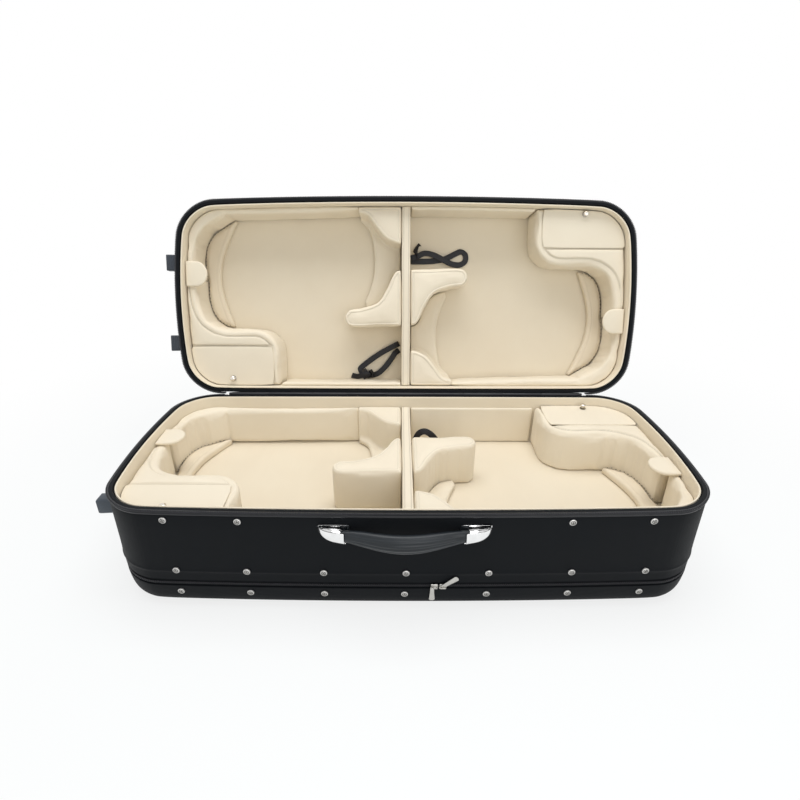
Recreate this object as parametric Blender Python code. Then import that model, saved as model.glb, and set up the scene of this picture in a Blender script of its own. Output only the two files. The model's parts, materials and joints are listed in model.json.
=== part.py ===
"""Oblong hard case for four violins, standing open on its zipped bottom pocket.

Two shells with the same fitted insert are joined by a long piano hinge. The lid leans back
on the hinge's stop. All lengths are in metres, +Z is up, +Y points from the handle to the
hinge, and the origin is the middle of the case's underside.
"""

import math

import bmesh
import bpy
from mathutils import Matrix, Vector

# Plan of the case at its rim
CASE_LENGTH = 0.864  # between the end walls, before their crown
CASE_DEPTH = 0.368  # between the hinge wall and the front wall, before its crown
CORNER_RADIUS = 0.066
END_CROWN = 0.0155  # how far each end wall bulges
FRONT_CROWN = 0.0090  # how far the front wall bulges

# Heights, measured from the rim plane
FLOOR_LEVEL = 0.0980  # rim to the padded floor
SHELL_FLOOR = 0.0216  # base shell's padded floor, above the bottom pocket
LID_TOP = 0.0081  # lid shell's outer panel
POCKET_DEPTH = 0.0465
LID_EDGE_RADIUS = 0.022
POCKET_EDGE_RADIUS = 0.026
OPEN_ANGLE = math.radians(108.2)

# Walls
RIM_GAP = 0.0005  # from each rim to the rim plane
ZIP_REBATE = 0.0028  # step that seats the rim zip
ZIP_REBATE_HEIGHT = 0.0088
SKIN_INSET = 0.0008  # cloth below the rim zip
SHELL_WALL = 0.0088  # rim's outer edge to the wall's inner face
LINING_WALL = 0.0040
LINING_LIP = 0.0010  # lining's top below the rim plane
LINING_FLOOR = 0.0115  # padded floor
FIT = 0.0004  # gap between pieces that are glued or seated

# Cloth piping above the pocket's zip
PIPING_WIDTH = 0.0065
PIPING_HEIGHT = 0.0014
PIPING_ABOVE_ZIP = 0.0273
ZIP_GROOVE_DEPTH = 0.0022
ZIP_GROOVE_HALF = 0.0060
POCKET_GAP = 0.0006
POCKET_WALL = 0.0060
POCKET_FLOOR = 0.0050

# Insert, measured down from the rim plane
FOAM_TOP = 0.0203
PANEL_TOP = 0.0170
FOAM_EDGE = 0.0060
CORNER_ROOM = 0.0015  # from a rounded edge to the next point of a curve
CRESCENT_HEIGHT = 0.0135
CRESCENT_EDGE = 0.0030
CORNER_OVERLAP = 0.0055  # how far the crescent runs into its corner foam
DIVIDER_WIDTH = 0.0170
DIVIDER_EDGE = 0.0030
STRIP_WIDTH = 0.0085  # foam strip along the long side

# Flap of the accessory box
FLAP_THICKNESS = 0.0030
FLAP_SIDE_GAP = 0.0015
FLAP_LEDGE = 0.0020
FLAP_EDGE = 0.0008
KNOB_FROM_SIDE = 0.0285  # from the near side to the knob
KNOB_HEIGHT = 0.0100
KNOB_RADIUS = 0.0048

# Tab over the end notch
TAB_LENGTH = 0.0420
TAB_WIDTH = 0.0490
TAB_THICKNESS = 0.0060
TAB_RADIUS = 0.0180
TAB_EDGE = 0.0018
NOTCH_WIDTH = 0.0160

# Neck ties
TIE_WIDTH = 0.0110
TIE_THICKNESS = 0.0012

# Piano hinge
HINGE_MARGIN = 0.085  # from the end wall to the hinge
HINGE_SECTIONS = 9
KNUCKLE_RADIUS = 0.0028
BORE_RADIUS = 0.0015
PIN_RADIUS = 0.0012
PIN_HEAD = 0.0020
LEAF_HEIGHT = 0.0080
AXIS_OFFSET = 0.0004  # pin outside the hinge wall

# Rim zip
BAND_THICKNESS = 0.0020
BAND_RIB = 0.0011
BAND_HEIGHT = 0.0080
RIM_SLIDER_LENGTH = 0.0085
RIM_SLIDER_HEIGHT = 0.0070
RIM_SLIDER_THICKNESS = 0.0030

# Handle
HANDLE_X = -0.0050
HANDLE_LENGTH = 0.238
HANDLE_DEPTH = 0.0310  # middle of the handle below the rim plane
CAP_LENGTH = 0.0430
CAP_OUT = 0.0190
CAP_HEIGHT = 0.0235
CAP_WALL = 0.0013
CAP_SLANT = 0.0070  # how much shorter the cap's front is than its back
GRIP_THICKNESS = 0.0205
GRIP_HEIGHT = 0.0300
GRIP_REACH = 0.0180
GRIP_SEAT = 0.0120  # how far the grip reaches into its caps

# Zip of the bottom pocket
SLIDER_LENGTH = 0.0105
SLIDER_HEIGHT = 0.0085
SLIDER_THICKNESS = 0.0036
SLIDER_EDGE = 0.0008
SLIDER_LEFT_X = 0.0385
SLIDER_RIGHT_X = 0.0510
POST_RADIUS = 0.0008
POST_SPACING = 0.0066
ARCH_HEIGHT = 0.0036
ARCH_BAR = 0.0013
PULL_LENGTH = 0.0270
PULL_WIDTH = 0.0076
PULL_NECK = 0.0052
PULL_THICKNESS = 0.0014
PULL_EYE = 0.0014
RIGHT_PULL_LENGTH = 0.0330
RIGHT_PULL_TURN = math.radians(128.0)

# Plastic feet on the left end
FOOT_REACH = 0.0250
FOOT_LENGTH = 0.0310
FOOT_THICKNESS = 0.0200
BASE_FOOT_HEIGHT = 0.0260
FOOT_EDGE = 0.0020
BASE_FOOT_V_share = 0.2080
BASE_FOOT_DEPTH = 0.0430
LID_FOOT_DEPTH = 0.0300
LID_LOWER_FOOT_V_share = 0.2600
LID_UPPER_FOOT_V_share = 0.6770

# Facets
CORNER_STEPS = 6
FRONT_STEPS = 6
END_STEPS = 4
EDGE_STEPS = 2
CURVE_STEPS = 3
OVERRUN = 0.0100  # how far every cutter passes the piece it cuts

SHELL_HEIGHT = FLOOR_LEVEL + LINING_FLOOR + FIT + SHELL_FLOOR  # rim to the pocket's zip
LID_HEIGHT = FLOOR_LEVEL + LINING_FLOOR + FIT + LID_TOP
BASE_HEIGHT = SHELL_HEIGHT + POCKET_GAP + POCKET_DEPTH
SHELL_PIPING_DEPTH = SHELL_HEIGHT - PIPING_ABOVE_ZIP
HALF_LENGTH = CASE_LENGTH / 2
HINGE_LENGTH = CASE_LENGTH - 2 * HINGE_MARGIN
HALF_TOTAL = (CASE_DEPTH + FRONT_CROWN) / 2
LINING_OUTER = SHELL_WALL + FIT
LINING_INNER = LINING_OUTER + LINING_WALL
HINGE_Y = HALF_TOTAL + AXIS_OFFSET
FRONT_WALL_Y = SKIN_INSET - HALF_TOTAL
REBATE_END = ZIP_REBATE_HEIGHT + (ZIP_REBATE - SKIN_INSET) / 2
FOOT_X = DIVIDER_WIDTH / 2 + FIT / 2

# Places in the left half. Across: shares of the half length. Along: shares of the whole depth.
FLAP_X_share = -0.6120
CREASE_share = 0.2440
KNOB_X_share = -0.7998
TAB_V_share = 0.6190

# Insert outlines of the left half. Across: shares of the half length, from the divider out.
# Along: shares of the whole depth, from the near side.
ROLL_shares = (
    (-0.8330, 0.3360), (-0.7890, 0.3335), (-0.7250, 0.3355), (-0.6740, 0.3310), (-0.6300, 0.3080),
    (-0.5960, 0.2620), (-0.5845, 0.2050), (-0.5860, 0.1300),
)
ROLL_END_shares = (
    (-0.9560, 0.5960), (-0.9540, 0.5050), (-0.9385, 0.4290), (-0.9100, 0.3780), (-0.8680, 0.3470),
)
END_FOAM_shares = (
    (-0.9650, 0.7050), (-0.9575, 0.7680), (-0.9350, 0.8220), (-0.8960, 0.8680), (-0.8150, 0.9240),
)
CRESCENT_shares = (
    (-0.7990, 0.9200), (-0.8300, 0.8480), (-0.8740, 0.7180), (-0.8860, 0.5900), (-0.8660, 0.4700),
    (-0.8290, 0.3420),
)
UPPER_CRESCENT_shares = (
    (-0.2181, 0.9220), (-0.1751, 0.8686), (-0.1542, 0.7469), (-0.1590, 0.6118), (-0.1987, 0.4858),
)
CORNER_FOAM_shares = (
    (-0.2190, 0.9309), (-0.1749, 0.9153), (-0.1447, 0.8703), (-0.0982, 0.8068), (-0.0541, 0.7802),
    (-0.0224, 0.7722),
)
WING_EDGE_shares = (
    (-0.0225, 0.6465), (-0.0448, 0.6399), (-0.0658, 0.6055), (-0.0844, 0.5525), (-0.1311, 0.4758),
    (-0.2125, 0.4441),
)
WING_TIP_shares = (
    (-0.2591, 0.4388), (-0.2824, 0.4045), (-0.2732, 0.3620), (-0.2359, 0.3460), (-0.1195, 0.3510),
    (-0.0226, 0.3535),
)
# Neck ties: a loop lying on the floor, one hanging from the divider, one resting on the wing
TIE_FLOOR_shares = (
    (-0.0247, 0.2739), (-0.0713, 0.2555), (-0.1413, 0.2160), (-0.1925, 0.1526), (-0.1879, 0.1049),
    (-0.1459, 0.1101), (-0.1086, 0.1551), (-0.0713, 0.2079), (-0.0246, 0.2329),
)
TIE_HANGING_shares = (
    (-0.0220, 0.2286), (-0.0595, 0.2072), (-0.1158, 0.1537), (-0.1746, 0.0946), (-0.1676, 0.0600),
    (-0.1183, 0.0620), (-0.0878, 0.0992), (-0.0596, 0.1455), (-0.0220, 0.1870),
)
TIE_RESTING_shares = (
    (-0.0251, 0.2731), (-0.0670, 0.2944), (-0.1136, 0.3250), (-0.1532, 0.3270), (-0.1625, 0.3030),
    (-0.1369, 0.2786), (-0.0996, 0.2719), (-0.0624, 0.2573), (-0.0251, 0.2386),
)
# Turned knob: radius and height shares, from the flap up
KNOB_shares = (
    (0.95, 0.00), (0.95, 0.14), (0.45, 0.22), (0.42, 0.42), (0.80, 0.52), (1.00, 0.70),
    (0.86, 0.88), (0.45, 0.98),
)
PIPING_shares = ((0.00, 0.0), (0.24, 1.0), (0.76, 1.0), (1.00, 0.0))
# Handle cap: place along it, reach and height shares, from the tip to the mouth
CAP_shares = (
    (0.00, 0.24, 0.36), (0.07, 0.46, 0.52), (0.22, 0.70, 0.70), (0.48, 0.90, 0.88), (1.0, 1.0, 1.0),
)
# Its sheet, open at the top: out and down from its upper edge, from the back round to the front
SECTION_shares = (
    (0.0, 0.00), (0.0, 0.82), (0.20, 1.00), (0.70, 1.00), (0.92, 0.84), (1.0, 0.56), (0.94, 0.06),
)
POCKET_INNER_shares = ((0.0, 0.0), (0.70, 0.0), (1.0, 1.0))
GRIP_END_share = 0.56
GRIP_BOW_share = 1.5
GRIP_SWELL_share = 0.8
PULL_WAIST_share = 0.78
EYE_CORNER_share = 0.72

CREAM = (0.80, 0.71, 0.54)
PLUSH = (0.76, 0.66, 0.49)
BLACK = (0.012, 0.013, 0.016)
GREY = (0.045, 0.050, 0.055)
CHROME = (0.86, 0.86, 0.87)
NICKEL = (0.72, 0.70, 0.66)
BRASS = (0.78, 0.68, 0.50)


def clear_scene():
    for item in list(bpy.data.objects):
        bpy.data.objects.remove(item, do_unlink=True)


def material(name, color, roughness, metallic=0.0):
    paint = bpy.data.materials.new(name)
    paint.use_nodes = True
    shader = paint.node_tree.nodes["Principled BSDF"]
    shader.inputs["Base Color"].default_value = (*color, 1.0)
    shader.inputs["Roughness"].default_value = roughness
    shader.inputs["Metallic"].default_value = metallic
    return paint


def empty(name, parent=None, location=(0.0, 0.0, 0.0), rotation=(0.0, 0.0, 0.0)):
    frame = bpy.data.objects.new(name, None)
    bpy.context.collection.objects.link(frame)
    frame.parent = parent
    frame.location = location
    frame.rotation_euler = rotation
    return frame


def place(name, mesh, look, parent, origin=(0.0, 0.0, 0.0), rotation=(0.0, 0.0, 0.0)):
    """Object in its parent's frame, with its own material in the look's colour."""
    item = bpy.data.objects.new(name, mesh)
    bpy.context.collection.objects.link(item)
    item.parent = parent
    item.location = origin
    item.rotation_euler = rotation
    color, roughness, metallic = look
    if not mesh.materials:
        mesh.materials.append(None)
    item.material_slots[0].link = "OBJECT"
    item.material_slots[0].material = material(name, color, roughness, metallic)
    return item


def finish(bm, name, origin=(0.0, 0.0, 0.0)):
    """Mesh from a closed bmesh, with its points counted from the origin."""
    bmesh.ops.recalc_face_normals(bm, faces=bm.faces)
    bmesh.ops.translate(bm, verts=bm.verts, vec=-Vector(origin))
    mesh = bpy.data.meshes.new(name)
    bm.to_mesh(mesh)
    bm.free()
    mesh.shade_smooth()
    mesh.set_sharp_from_angle(angle=math.radians(40.0))
    return mesh


def loft(rings, closed=True, wrap=False):
    """Skin through rings of as many points each; the end rings are capped unless they wrap."""
    bm = bmesh.new()
    rows = [[bm.verts.new(point) for point in ring] for ring in rings]
    count = len(rows[0])
    for lower, upper in zip(rows, rows[1:] + rows[:1] if wrap else rows[1:]):
        for i in range(count if closed else count - 1):
            j = (i + 1) % count
            bm.faces.new((lower[i], lower[j], upper[j], upper[i]))
    if not wrap:
        bm.faces.new(rows[0][::-1])
        bm.faces.new(rows[-1])
    return bm


def smooth(points, steps=CURVE_STEPS):
    """Rounded run through the points, which it keeps."""
    ends = [points[0]] + list(points) + [points[-1]]
    run = []
    for a, b, c, d in zip(ends, ends[1:], ends[2:], ends[3:]):
        for i in range(steps):
            t = i / steps
            run.append(tuple(
                q + ((r - p) * t + (2 * p - 5 * q + 4 * r - s) * t**2 + (3 * q - p - 3 * r + s) * t**3) / 2
                for p, q, r, s in zip(a, b, c, d)
            ))
    return run + [tuple(points[-1])]


def offset(points, distance, closed=True):
    """Outline moved to its left by the distance, with mitred corners."""
    count = len(points)
    moved = []
    for i, (x, y) in enumerate(points):
        before = points[i - 1] if closed or i else None
        after = points[(i + 1) % count] if closed or i < count - 1 else None
        normals = []
        for start, end in ((before, (x, y)), ((x, y), after)):
            if start and end:
                run = math.hypot(end[0] - start[0], end[1] - start[1])
                normals.append(((start[1] - end[1]) / run, (end[0] - start[0]) / run))
        nx = sum(n[0] for n in normals) / len(normals)
        ny = sum(n[1] for n in normals) / len(normals)
        reach = max(nx * nx + ny * ny, 1 / 4)
        moved.append((x + nx / reach * distance, y + ny / reach * distance))
    return moved


def outline(inset, near=FRONT_CROWN, far=0.0):
    """Plan of the case, counter-clockwise, at an inset from the rim's outer edge."""
    half_x = HALF_LENGTH - inset
    half_y = CASE_DEPTH / 2 - inset
    radius = CORNER_RADIUS - inset
    side_x, side_y = half_x - radius, half_y - radius
    points = []
    for quarter in range(4):
        along = quarter % 2 == 0
        steps = FRONT_STEPS if along else END_STEPS
        turn = (quarter - 1) * math.pi / 2
        across, out = (side_x, half_y) if along else (side_y, half_x)
        for i in range(steps):
            s = (2 * i / steps - 1) * across
            points.append((
                out * math.cos(turn) - s * math.sin(turn), out * math.sin(turn) + s * math.cos(turn)
            ))
        sign_x, sign_y = ((1, -1), (1, 1), (-1, 1), (-1, -1))[quarter]
        for i in range(CORNER_STEPS):
            a = turn + i / CORNER_STEPS * math.pi / 2
            points.append((sign_x * side_x + radius * math.cos(a), sign_y * side_y + radius * math.sin(a)))
    middle = (near - far) / 2
    crowned = []
    for x, y in points:
        side = (far if y > 0 else -near) * (1 - (x / half_x) ** 2)
        end = math.copysign(END_CROWN, x) * (1 - (y / half_y) ** 2)
        crowned.append((x + end, y + middle + side))
    return crowned


def level(points, z):
    return [(x, y, z) for x, y in points]


def run_between(points, start, end):
    """Part of a closed outline, counter-clockwise, between the points nearest to two places."""
    ends = []
    for place_x, place_y in (start, end):
        best = None
        for i, (x, y) in enumerate(points):
            nx, ny = points[(i + 1) % len(points)]
            dx, dy = nx - x, ny - y
            t = ((place_x - x) * dx + (place_y - y) * dy) / (dx * dx + dy * dy)
            t = min(max(t, 0.0), 1.0)
            spot = (x + dx * t, y + dy * t)
            gap = math.hypot(spot[0] - place_x, spot[1] - place_y)
            if best is None or gap < best[0]:
                best = (gap, i, spot)
        ends.append(best[1:])
    (first, spot), (last, final) = ends
    run, i = [spot], first
    while i != last:
        i = (i + 1) % len(points)
        run.append(points[i])
    run.append(final)
    return tidy(run)


def tidy(points):
    """The points without neighbours that lie closer than the fit."""
    kept = []
    for point in points:
        if not kept or math.dist(kept[-1], point) > FIT:
            kept.append(point)
    if math.dist(kept[0], kept[-1]) <= FIT:
        kept.pop()
    return kept


def clear_corners(points):
    """The outline without the curve points that crowd a corner, so that its edge can be rounded."""
    gap = FOAM_EDGE + CORNER_ROOM
    count = len(points)
    corners = []
    for i, (x, y) in enumerate(points):
        (bx, by), (ax, ay) = points[i - 1], points[(i + 1) % count]
        turn = math.atan2(ay - y, ax - x) - math.atan2(y - by, x - bx)
        if abs(math.remainder(turn, 2 * math.pi)) > math.radians(35.0):
            corners.append((x, y))
    return [
        point for point in points
        if point in corners or all(math.dist(point, corner) > gap for corner in corners)
    ]


def half_plane(points, side):
    """Convex outline cut to where side(x, y) is positive."""
    kept = []
    for (x, y), (nx, ny) in zip(points, points[1:] + points[:1]):
        here, there = side(x, y), side(nx, ny)
        if here > 0:
            kept.append((x, y))
        if here * there < 0:
            t = here / (here - there)
            kept.append((x + (nx - x) * t, y + (ny - y) * t))
    return tidy(kept)


def block(points, bottom, top, edge, steps=EDGE_STEPS):
    """Upright block on a counter-clockwise outline, with its upper edge rounded."""
    rings = [level(points, bottom)]
    for i in range(steps + 1):
        a = i / steps * math.pi / 2
        inner = offset(points, edge * (1 - math.cos(a)))
        rings.append(level(inner, top - edge * (1 - math.sin(a))))
    return loft(rings)


def slab(points, bottom, top, edge):
    """Sheet on a counter-clockwise outline with both edges eased."""
    inner = offset(points, edge)
    return loft([
        level(inner, bottom), level(points, bottom + edge), level(points, top - edge), level(inner, top)
    ])


def band(path, section):
    """Strip along an open path; the section gives how far out and how high each point lies."""
    rails = [level(offset(path, out, closed=False), z) for out, z in section]
    return loft([list(ring) for ring in zip(*rails)])


def piping(depth):
    """Inset and depth of a cloth piping that starts at a depth."""
    return [
        (SKIN_INSET - PIPING_HEIGHT * out_share, depth + PIPING_WIDTH * down_share)
        for down_share, out_share in PIPING_shares
    ]


def shares_to_points(shares):
    """Insert outline in metres, counted from the middle of the case."""
    return [(x * HALF_LENGTH, (v - 1 / 2) * 2 * HALF_TOTAL) for x, v in shares]


def in_line(v_share):
    """Place along the insert, a share of its depth from the near side, counted from the middle."""
    return (2 * v_share - 1) * HALF_TOTAL


def shell_rings(profile):
    return [level(outline(inset), -depth) for inset, depth in profile]


def make_base(case):
    groove = SKIN_INSET + ZIP_GROOVE_DEPTH
    groove_top = SHELL_HEIGHT - ZIP_GROOVE_HALF
    outer = [(ZIP_REBATE, RIM_GAP), (ZIP_REBATE, ZIP_REBATE_HEIGHT), (SKIN_INSET, REBATE_END)]
    outer += piping(SHELL_PIPING_DEPTH)
    outer += [(SKIN_INSET, groove_top), (groove, groove_top + FIT), (groove, SHELL_HEIGHT)]
    floor = FLOOR_LEVEL + LINING_FLOOR + FIT
    inner = [(SHELL_WALL, floor), (SHELL_WALL, RIM_GAP)]
    shell = loft(shell_rings(inner + outer))
    place("base_shell", finish(shell, "base_shell"), (BLACK, 0.75, 0.0), case)

    top = SHELL_HEIGHT + POCKET_GAP
    groove_end = SHELL_HEIGHT + ZIP_GROOVE_HALF
    outer = [(groove, top), (groove, groove_end - FIT), (SKIN_INSET, groove_end)]
    straight = BASE_HEIGHT - POCKET_EDGE_RADIUS
    for i in range(1, 2 * EDGE_STEPS + 1):
        a = i / (2 * EDGE_STEPS) * math.pi / 2
        outer.append((
            SKIN_INSET + POCKET_EDGE_RADIUS * (1 - math.cos(a)),
            straight + POCKET_EDGE_RADIUS * math.sin(a),
        ))
    inside = groove + POCKET_WALL
    height = BASE_HEIGHT - POCKET_FLOOR - top
    inner = [
        (inside + POCKET_EDGE_RADIUS * in_share, top + height * down_share)
        for down_share, in_share in POCKET_INNER_shares
    ]
    hinge = (0.0, HALF_TOTAL - groove, -SHELL_HEIGHT)
    pocket = loft(shell_rings(inner[::-1] + outer))
    place("bottom_pocket", finish(pocket, "bottom_pocket", hinge), (BLACK, 0.75, 0.0), case, hinge)


def make_lid_shell(lid):
    outer = [(ZIP_REBATE, RIM_GAP), (ZIP_REBATE, ZIP_REBATE_HEIGHT), (SKIN_INSET, REBATE_END)]
    straight = LID_HEIGHT - LID_EDGE_RADIUS
    for i in range(2 * EDGE_STEPS + 1):
        a = i / (2 * EDGE_STEPS) * math.pi / 2
        outer.append((
            SKIN_INSET + LID_EDGE_RADIUS * (1 - math.cos(a)), straight + LID_EDGE_RADIUS * math.sin(a)
        ))
    inner = [(SHELL_WALL, FLOOR_LEVEL + LINING_FLOOR + FIT), (SHELL_WALL, RIM_GAP)]
    rings = [level(outline(inset), depth) for inset, depth in inner + outer]
    place("lid_shell", finish(loft(rings), "lid_shell"), (BLACK, 0.75, 0.0), lid)


def make_lining(name, frame, up):
    """Cream tray inside a shell: walls with a lip, and a padded floor."""
    bottom = FLOOR_LEVEL + LINING_FLOOR
    lip = LINING_WALL / 4
    profile = (
        (LINING_INNER, FLOOR_LEVEL), (LINING_INNER, LINING_LIP + lip), (LINING_INNER - lip, LINING_LIP),
        (LINING_OUTER + lip, LINING_LIP), (LINING_OUTER, LINING_LIP + lip), (LINING_OUTER, bottom),
    )
    rings = [level(outline(inset), up * depth) for inset, depth in profile]
    place(name, finish(loft(rings), name), (CREAM, 0.9, 0.0), frame)


def rim_path():
    """Rim zip's route: from the hinge's right end round the back, ends and front."""
    half = HINGE_LENGTH / 2 + PIN_HEAD + RIM_SLIDER_LENGTH + 2 * FIT
    right, left = (half, HALF_TOTAL), (-half, HALF_TOTAL)
    return run_between(outline(ZIP_REBATE - FIT), left, right)


def make_rim_zip(name, frame, up):
    """Zip tape with two ribs, seated in the rim's rebate on three sides."""
    high, low = RIM_GAP, RIM_GAP + BAND_HEIGHT
    third = BAND_HEIGHT / 3
    rib = BAND_THICKNESS + BAND_RIB
    section = (
        (0.0, low), (0.0, high), (BAND_THICKNESS, high), (rib, high + third / 2),
        (BAND_THICKNESS, high + third), (BAND_THICKNESS, high + third + third / 2),
        (rib, high + 2 * third), (BAND_THICKNESS, low),
    )
    strip = band(rim_path(), [(-out, up * depth) for out, depth in section])
    place(name, finish(strip, name), (BLACK, 0.6, 0.0), frame)


def divider_outline():
    half_y = HALF_TOTAL - LINING_INNER - FIT
    half_x = DIVIDER_WIDTH / 2
    return [(-half_x, -half_y), (half_x, -half_y), (half_x, half_y), (-half_x, half_y)]


class Insert:
    """The foam pieces of one half bay, in a frame with +Z towards the rim."""

    def __init__(self, near, far):
        wall = outline(LINING_INNER, near, far)
        crease = in_line(CREASE_share)
        notch = in_line(TAB_V_share)
        low_notch, high_notch = notch - NOTCH_WIDTH / 2, notch + NOTCH_WIDTH / 2
        end_x = -HALF_LENGTH - END_CROWN
        flap_x = FLAP_X_share * HALF_LENGTH
        ledge = FOAM_EDGE + FLAP_LEDGE
        ledge_x = flap_x - ledge
        ledge_y = crease - ledge
        roll_end = smooth(shares_to_points(ROLL_END_shares))
        roll = roll_end + smooth(shares_to_points(ROLL_shares))
        beside_box = run_between(wall, (end_x, low_notch), (end_x, ledge_y))
        under_box = run_between(wall, (ledge_x, -HALF_TOTAL), (roll[-1][0], -HALF_TOTAL))
        self.s_foam = tidy(
            beside_box + [(ledge_x, ledge_y)] + under_box + roll[::-1] + [(roll[0][0], low_notch)]
        )

        corner = smooth(shares_to_points(CORNER_FOAM_shares))
        strip_x = corner[0][0]
        end_foam = smooth(shares_to_points(END_FOAM_shares))
        end_inner = (end_foam[0][0], high_notch)
        strip_inner = (strip_x, HALF_TOTAL - LINING_INNER - STRIP_WIDTH)
        far_run = run_between(wall, (strip_x, HALF_TOTAL), (end_x, high_notch))
        self.bolster = tidy(far_run + [end_inner] + end_foam + [strip_inner])

        corner_run = run_between(wall, (-FOOT_X, HALF_TOTAL), (strip_x, HALF_TOTAL))
        self.corner = tidy(corner_run + corner[:-1] + [(-FOOT_X, corner[-1][1])])

        edge = smooth(shares_to_points(WING_EDGE_shares))
        tip = smooth(shares_to_points(WING_TIP_shares))
        self.wing = tidy([(-FOOT_X, edge[0][1])] + edge[1:] + tip[:-1] + [(-FOOT_X, tip[-1][1])])

        arc = smooth(shares_to_points(UPPER_CRESCENT_shares))
        beside_wing = [point for point in edge if point[0] > arc[-1][0]]
        within = offset(corner, CORNER_OVERLAP, closed=False)
        self.upper_crescent = tidy(
            arc + beside_wing[::-1] + [(edge[0][0], corner[-1][1] + CORNER_OVERLAP)] + within[::-1][1:]
        )
        inner_arc = smooth(shares_to_points(CRESCENT_shares))
        under_tab = [end_inner, (roll[0][0], low_notch)]
        self.crescent = tidy(end_foam[::-1] + under_tab + roll_end + inner_arc[::-1])

        beside_wall = outline(LINING_INNER + FLAP_SIDE_GAP, near, far)
        left = half_plane(beside_wall, lambda x, y: flap_x - x)
        self.flap = half_plane(left, lambda x, y: crease - y)
        self.flap_hinge = (flap_x, crease, -PANEL_TOP - FLAP_THICKNESS)

        half = TAB_WIDTH / 2
        beside_tab = run_between(wall, (end_x, notch + half), (end_x, notch - half))
        tab_x = max(x for x, y in beside_tab) + FIT
        tip_x = tab_x + TAB_LENGTH - TAB_RADIUS
        tab = [(tab_x, notch + half), (tab_x, notch - half)]
        for corner_y, start in ((notch - half + TAB_RADIUS, -1), (notch + half - TAB_RADIUS, 0)):
            for i in range(CORNER_STEPS):
                a = (start + i / (CORNER_STEPS - 1)) * math.pi / 2
                tab.append((tip_x + TAB_RADIUS * math.cos(a), corner_y + TAB_RADIUS * math.sin(a)))
        self.tab = tidy(tab)
        self.tab_hinge = (tab_x, notch, FIT - FOAM_TOP + TAB_THICKNESS)


def foam(name, points, bottom, top, edge):
    """Foam block that leaves half a fit to its neighbours, with a rounded upper edge."""
    return block(offset(clear_corners(points), FIT / 2), -bottom, -top, edge)


def helper(name, bm, parent):
    """Hidden shape that cuts or joins another one."""
    item = place(name, finish(bm, name), (CREAM, 1.0, 0.0), parent)
    item.hide_render = True
    item.display_type = "WIRE"
    return item


def join(item, other, operation):
    change = item.modifiers.new(operation.title(), "BOOLEAN")
    change.operation = operation
    change.solver = "EXACT"
    change.object = other


def lathe(profile, count, centre=(0.0, 0.0)):
    """Turned body from radius and height pairs, from the bottom up."""
    rings = []
    for radius, height in profile:
        turns = [2 * math.pi * i / count for i in range(count)]
        rings.append([
            (centre[0] + radius * math.cos(a), centre[1] + radius * math.sin(a), height) for a in turns
        ])
    return loft(rings)


def make_insert(key, frame, meshes, insert, tie_shares):
    """Nine pieces of one half bay, on meshes that it shares with its twin in the other shell."""
    floor = FLOOR_LEVEL - FIT
    crescent_top = FLOOR_LEVEL - CRESCENT_HEIGHT
    if not meshes:
        meshes["s_foam"] = finish(foam("s_foam", insert.s_foam, floor, FOAM_TOP, FOAM_EDGE), "s_foam")
        meshes["bolster"] = finish(foam("bolster", insert.bolster, floor, FOAM_TOP, FOAM_EDGE / 2), "bolster")
        meshes["corner"] = finish(foam("corner", insert.corner, floor, FOAM_TOP, FOAM_EDGE / 2), "corner")
        meshes["wing"] = finish(foam("wing", insert.wing, floor, FOAM_TOP, FOAM_EDGE / 2), "wing")
        low_pad = foam("crescent", insert.crescent, floor, crescent_top, CRESCENT_EDGE)
        meshes["crescent"] = finish(low_pad, "crescent")
        hinge = insert.flap_hinge
        bottom, top = hinge[2], -PANEL_TOP
        meshes["flap"] = finish(slab(insert.flap, bottom, top, FLAP_EDGE), "flap", hinge)
        knob_floor = top + FIT
        profile = [
            (KNOB_RADIUS * r_share, knob_floor + KNOB_HEIGHT * h_share) for r_share, h_share in KNOB_shares
        ]
        knob = lathe(profile, 2 * CORNER_STEPS, (KNOB_X_share * HALF_LENGTH, KNOB_FROM_SIDE - HALF_TOTAL))
        meshes["knob"] = finish(knob, "knob", hinge)
        tab_top = insert.tab_hinge[2]
        tab = slab(insert.tab, tab_top - TAB_THICKNESS, tab_top, TAB_EDGE)
        meshes["tab"] = finish(tab, "tab", insert.tab_hinge)

    soft, firm = (CREAM, 0.9, 0.0), (PLUSH, 0.95, 0.0)
    place(f"{key}_s_foam", meshes["s_foam"], soft, frame)
    place(f"{key}_end_foam", meshes["bolster"], soft, frame)
    corner = place(f"{key}_corner_foam", meshes["corner"], soft, frame)
    pad = offset(clear_corners(insert.upper_crescent), FIT / 2)
    pad_shape = block(pad, FIT - floor, -crescent_top, CRESCENT_EDGE)
    join(corner, helper(f"{key}_corner_pad", pad_shape, frame), "UNION")
    place(f"{key}_wing", meshes["wing"], soft, frame)
    place(f"{key}_crescent", meshes["crescent"], firm, frame)
    place(f"{key}_box_flap", meshes["flap"], soft, frame, insert.flap_hinge)
    place(f"{key}_flap_knob", meshes["knob"], (BRASS, 0.25, 1.0), frame, insert.flap_hinge)
    place(f"{key}_end_tab", meshes["tab"], soft, frame, insert.tab_hinge)
    make_tie(f"{key}_neck_tie", frame, tie_shares, floor)


def make_tie(name, frame, shares, floor):
    """Ribbon on edge, from the divider out and back to it."""
    line = smooth(shares_to_points(shares))
    root = -DIVIDER_WIDTH / 2 - FIT
    line = [(root, line[0][1])] + line[1:-1] + [(root, line[-1][1])]
    right = offset(line, -TIE_THICKNESS / 2, closed=False)
    left = offset(line, TIE_THICKNESS / 2, closed=False)
    ribbon = loft([level(right + left[::-1], z) for z in (-floor, TIE_WIDTH - floor)])
    place(name, finish(ribbon, name), (BLACK, 0.6, 0.0), frame)


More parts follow.
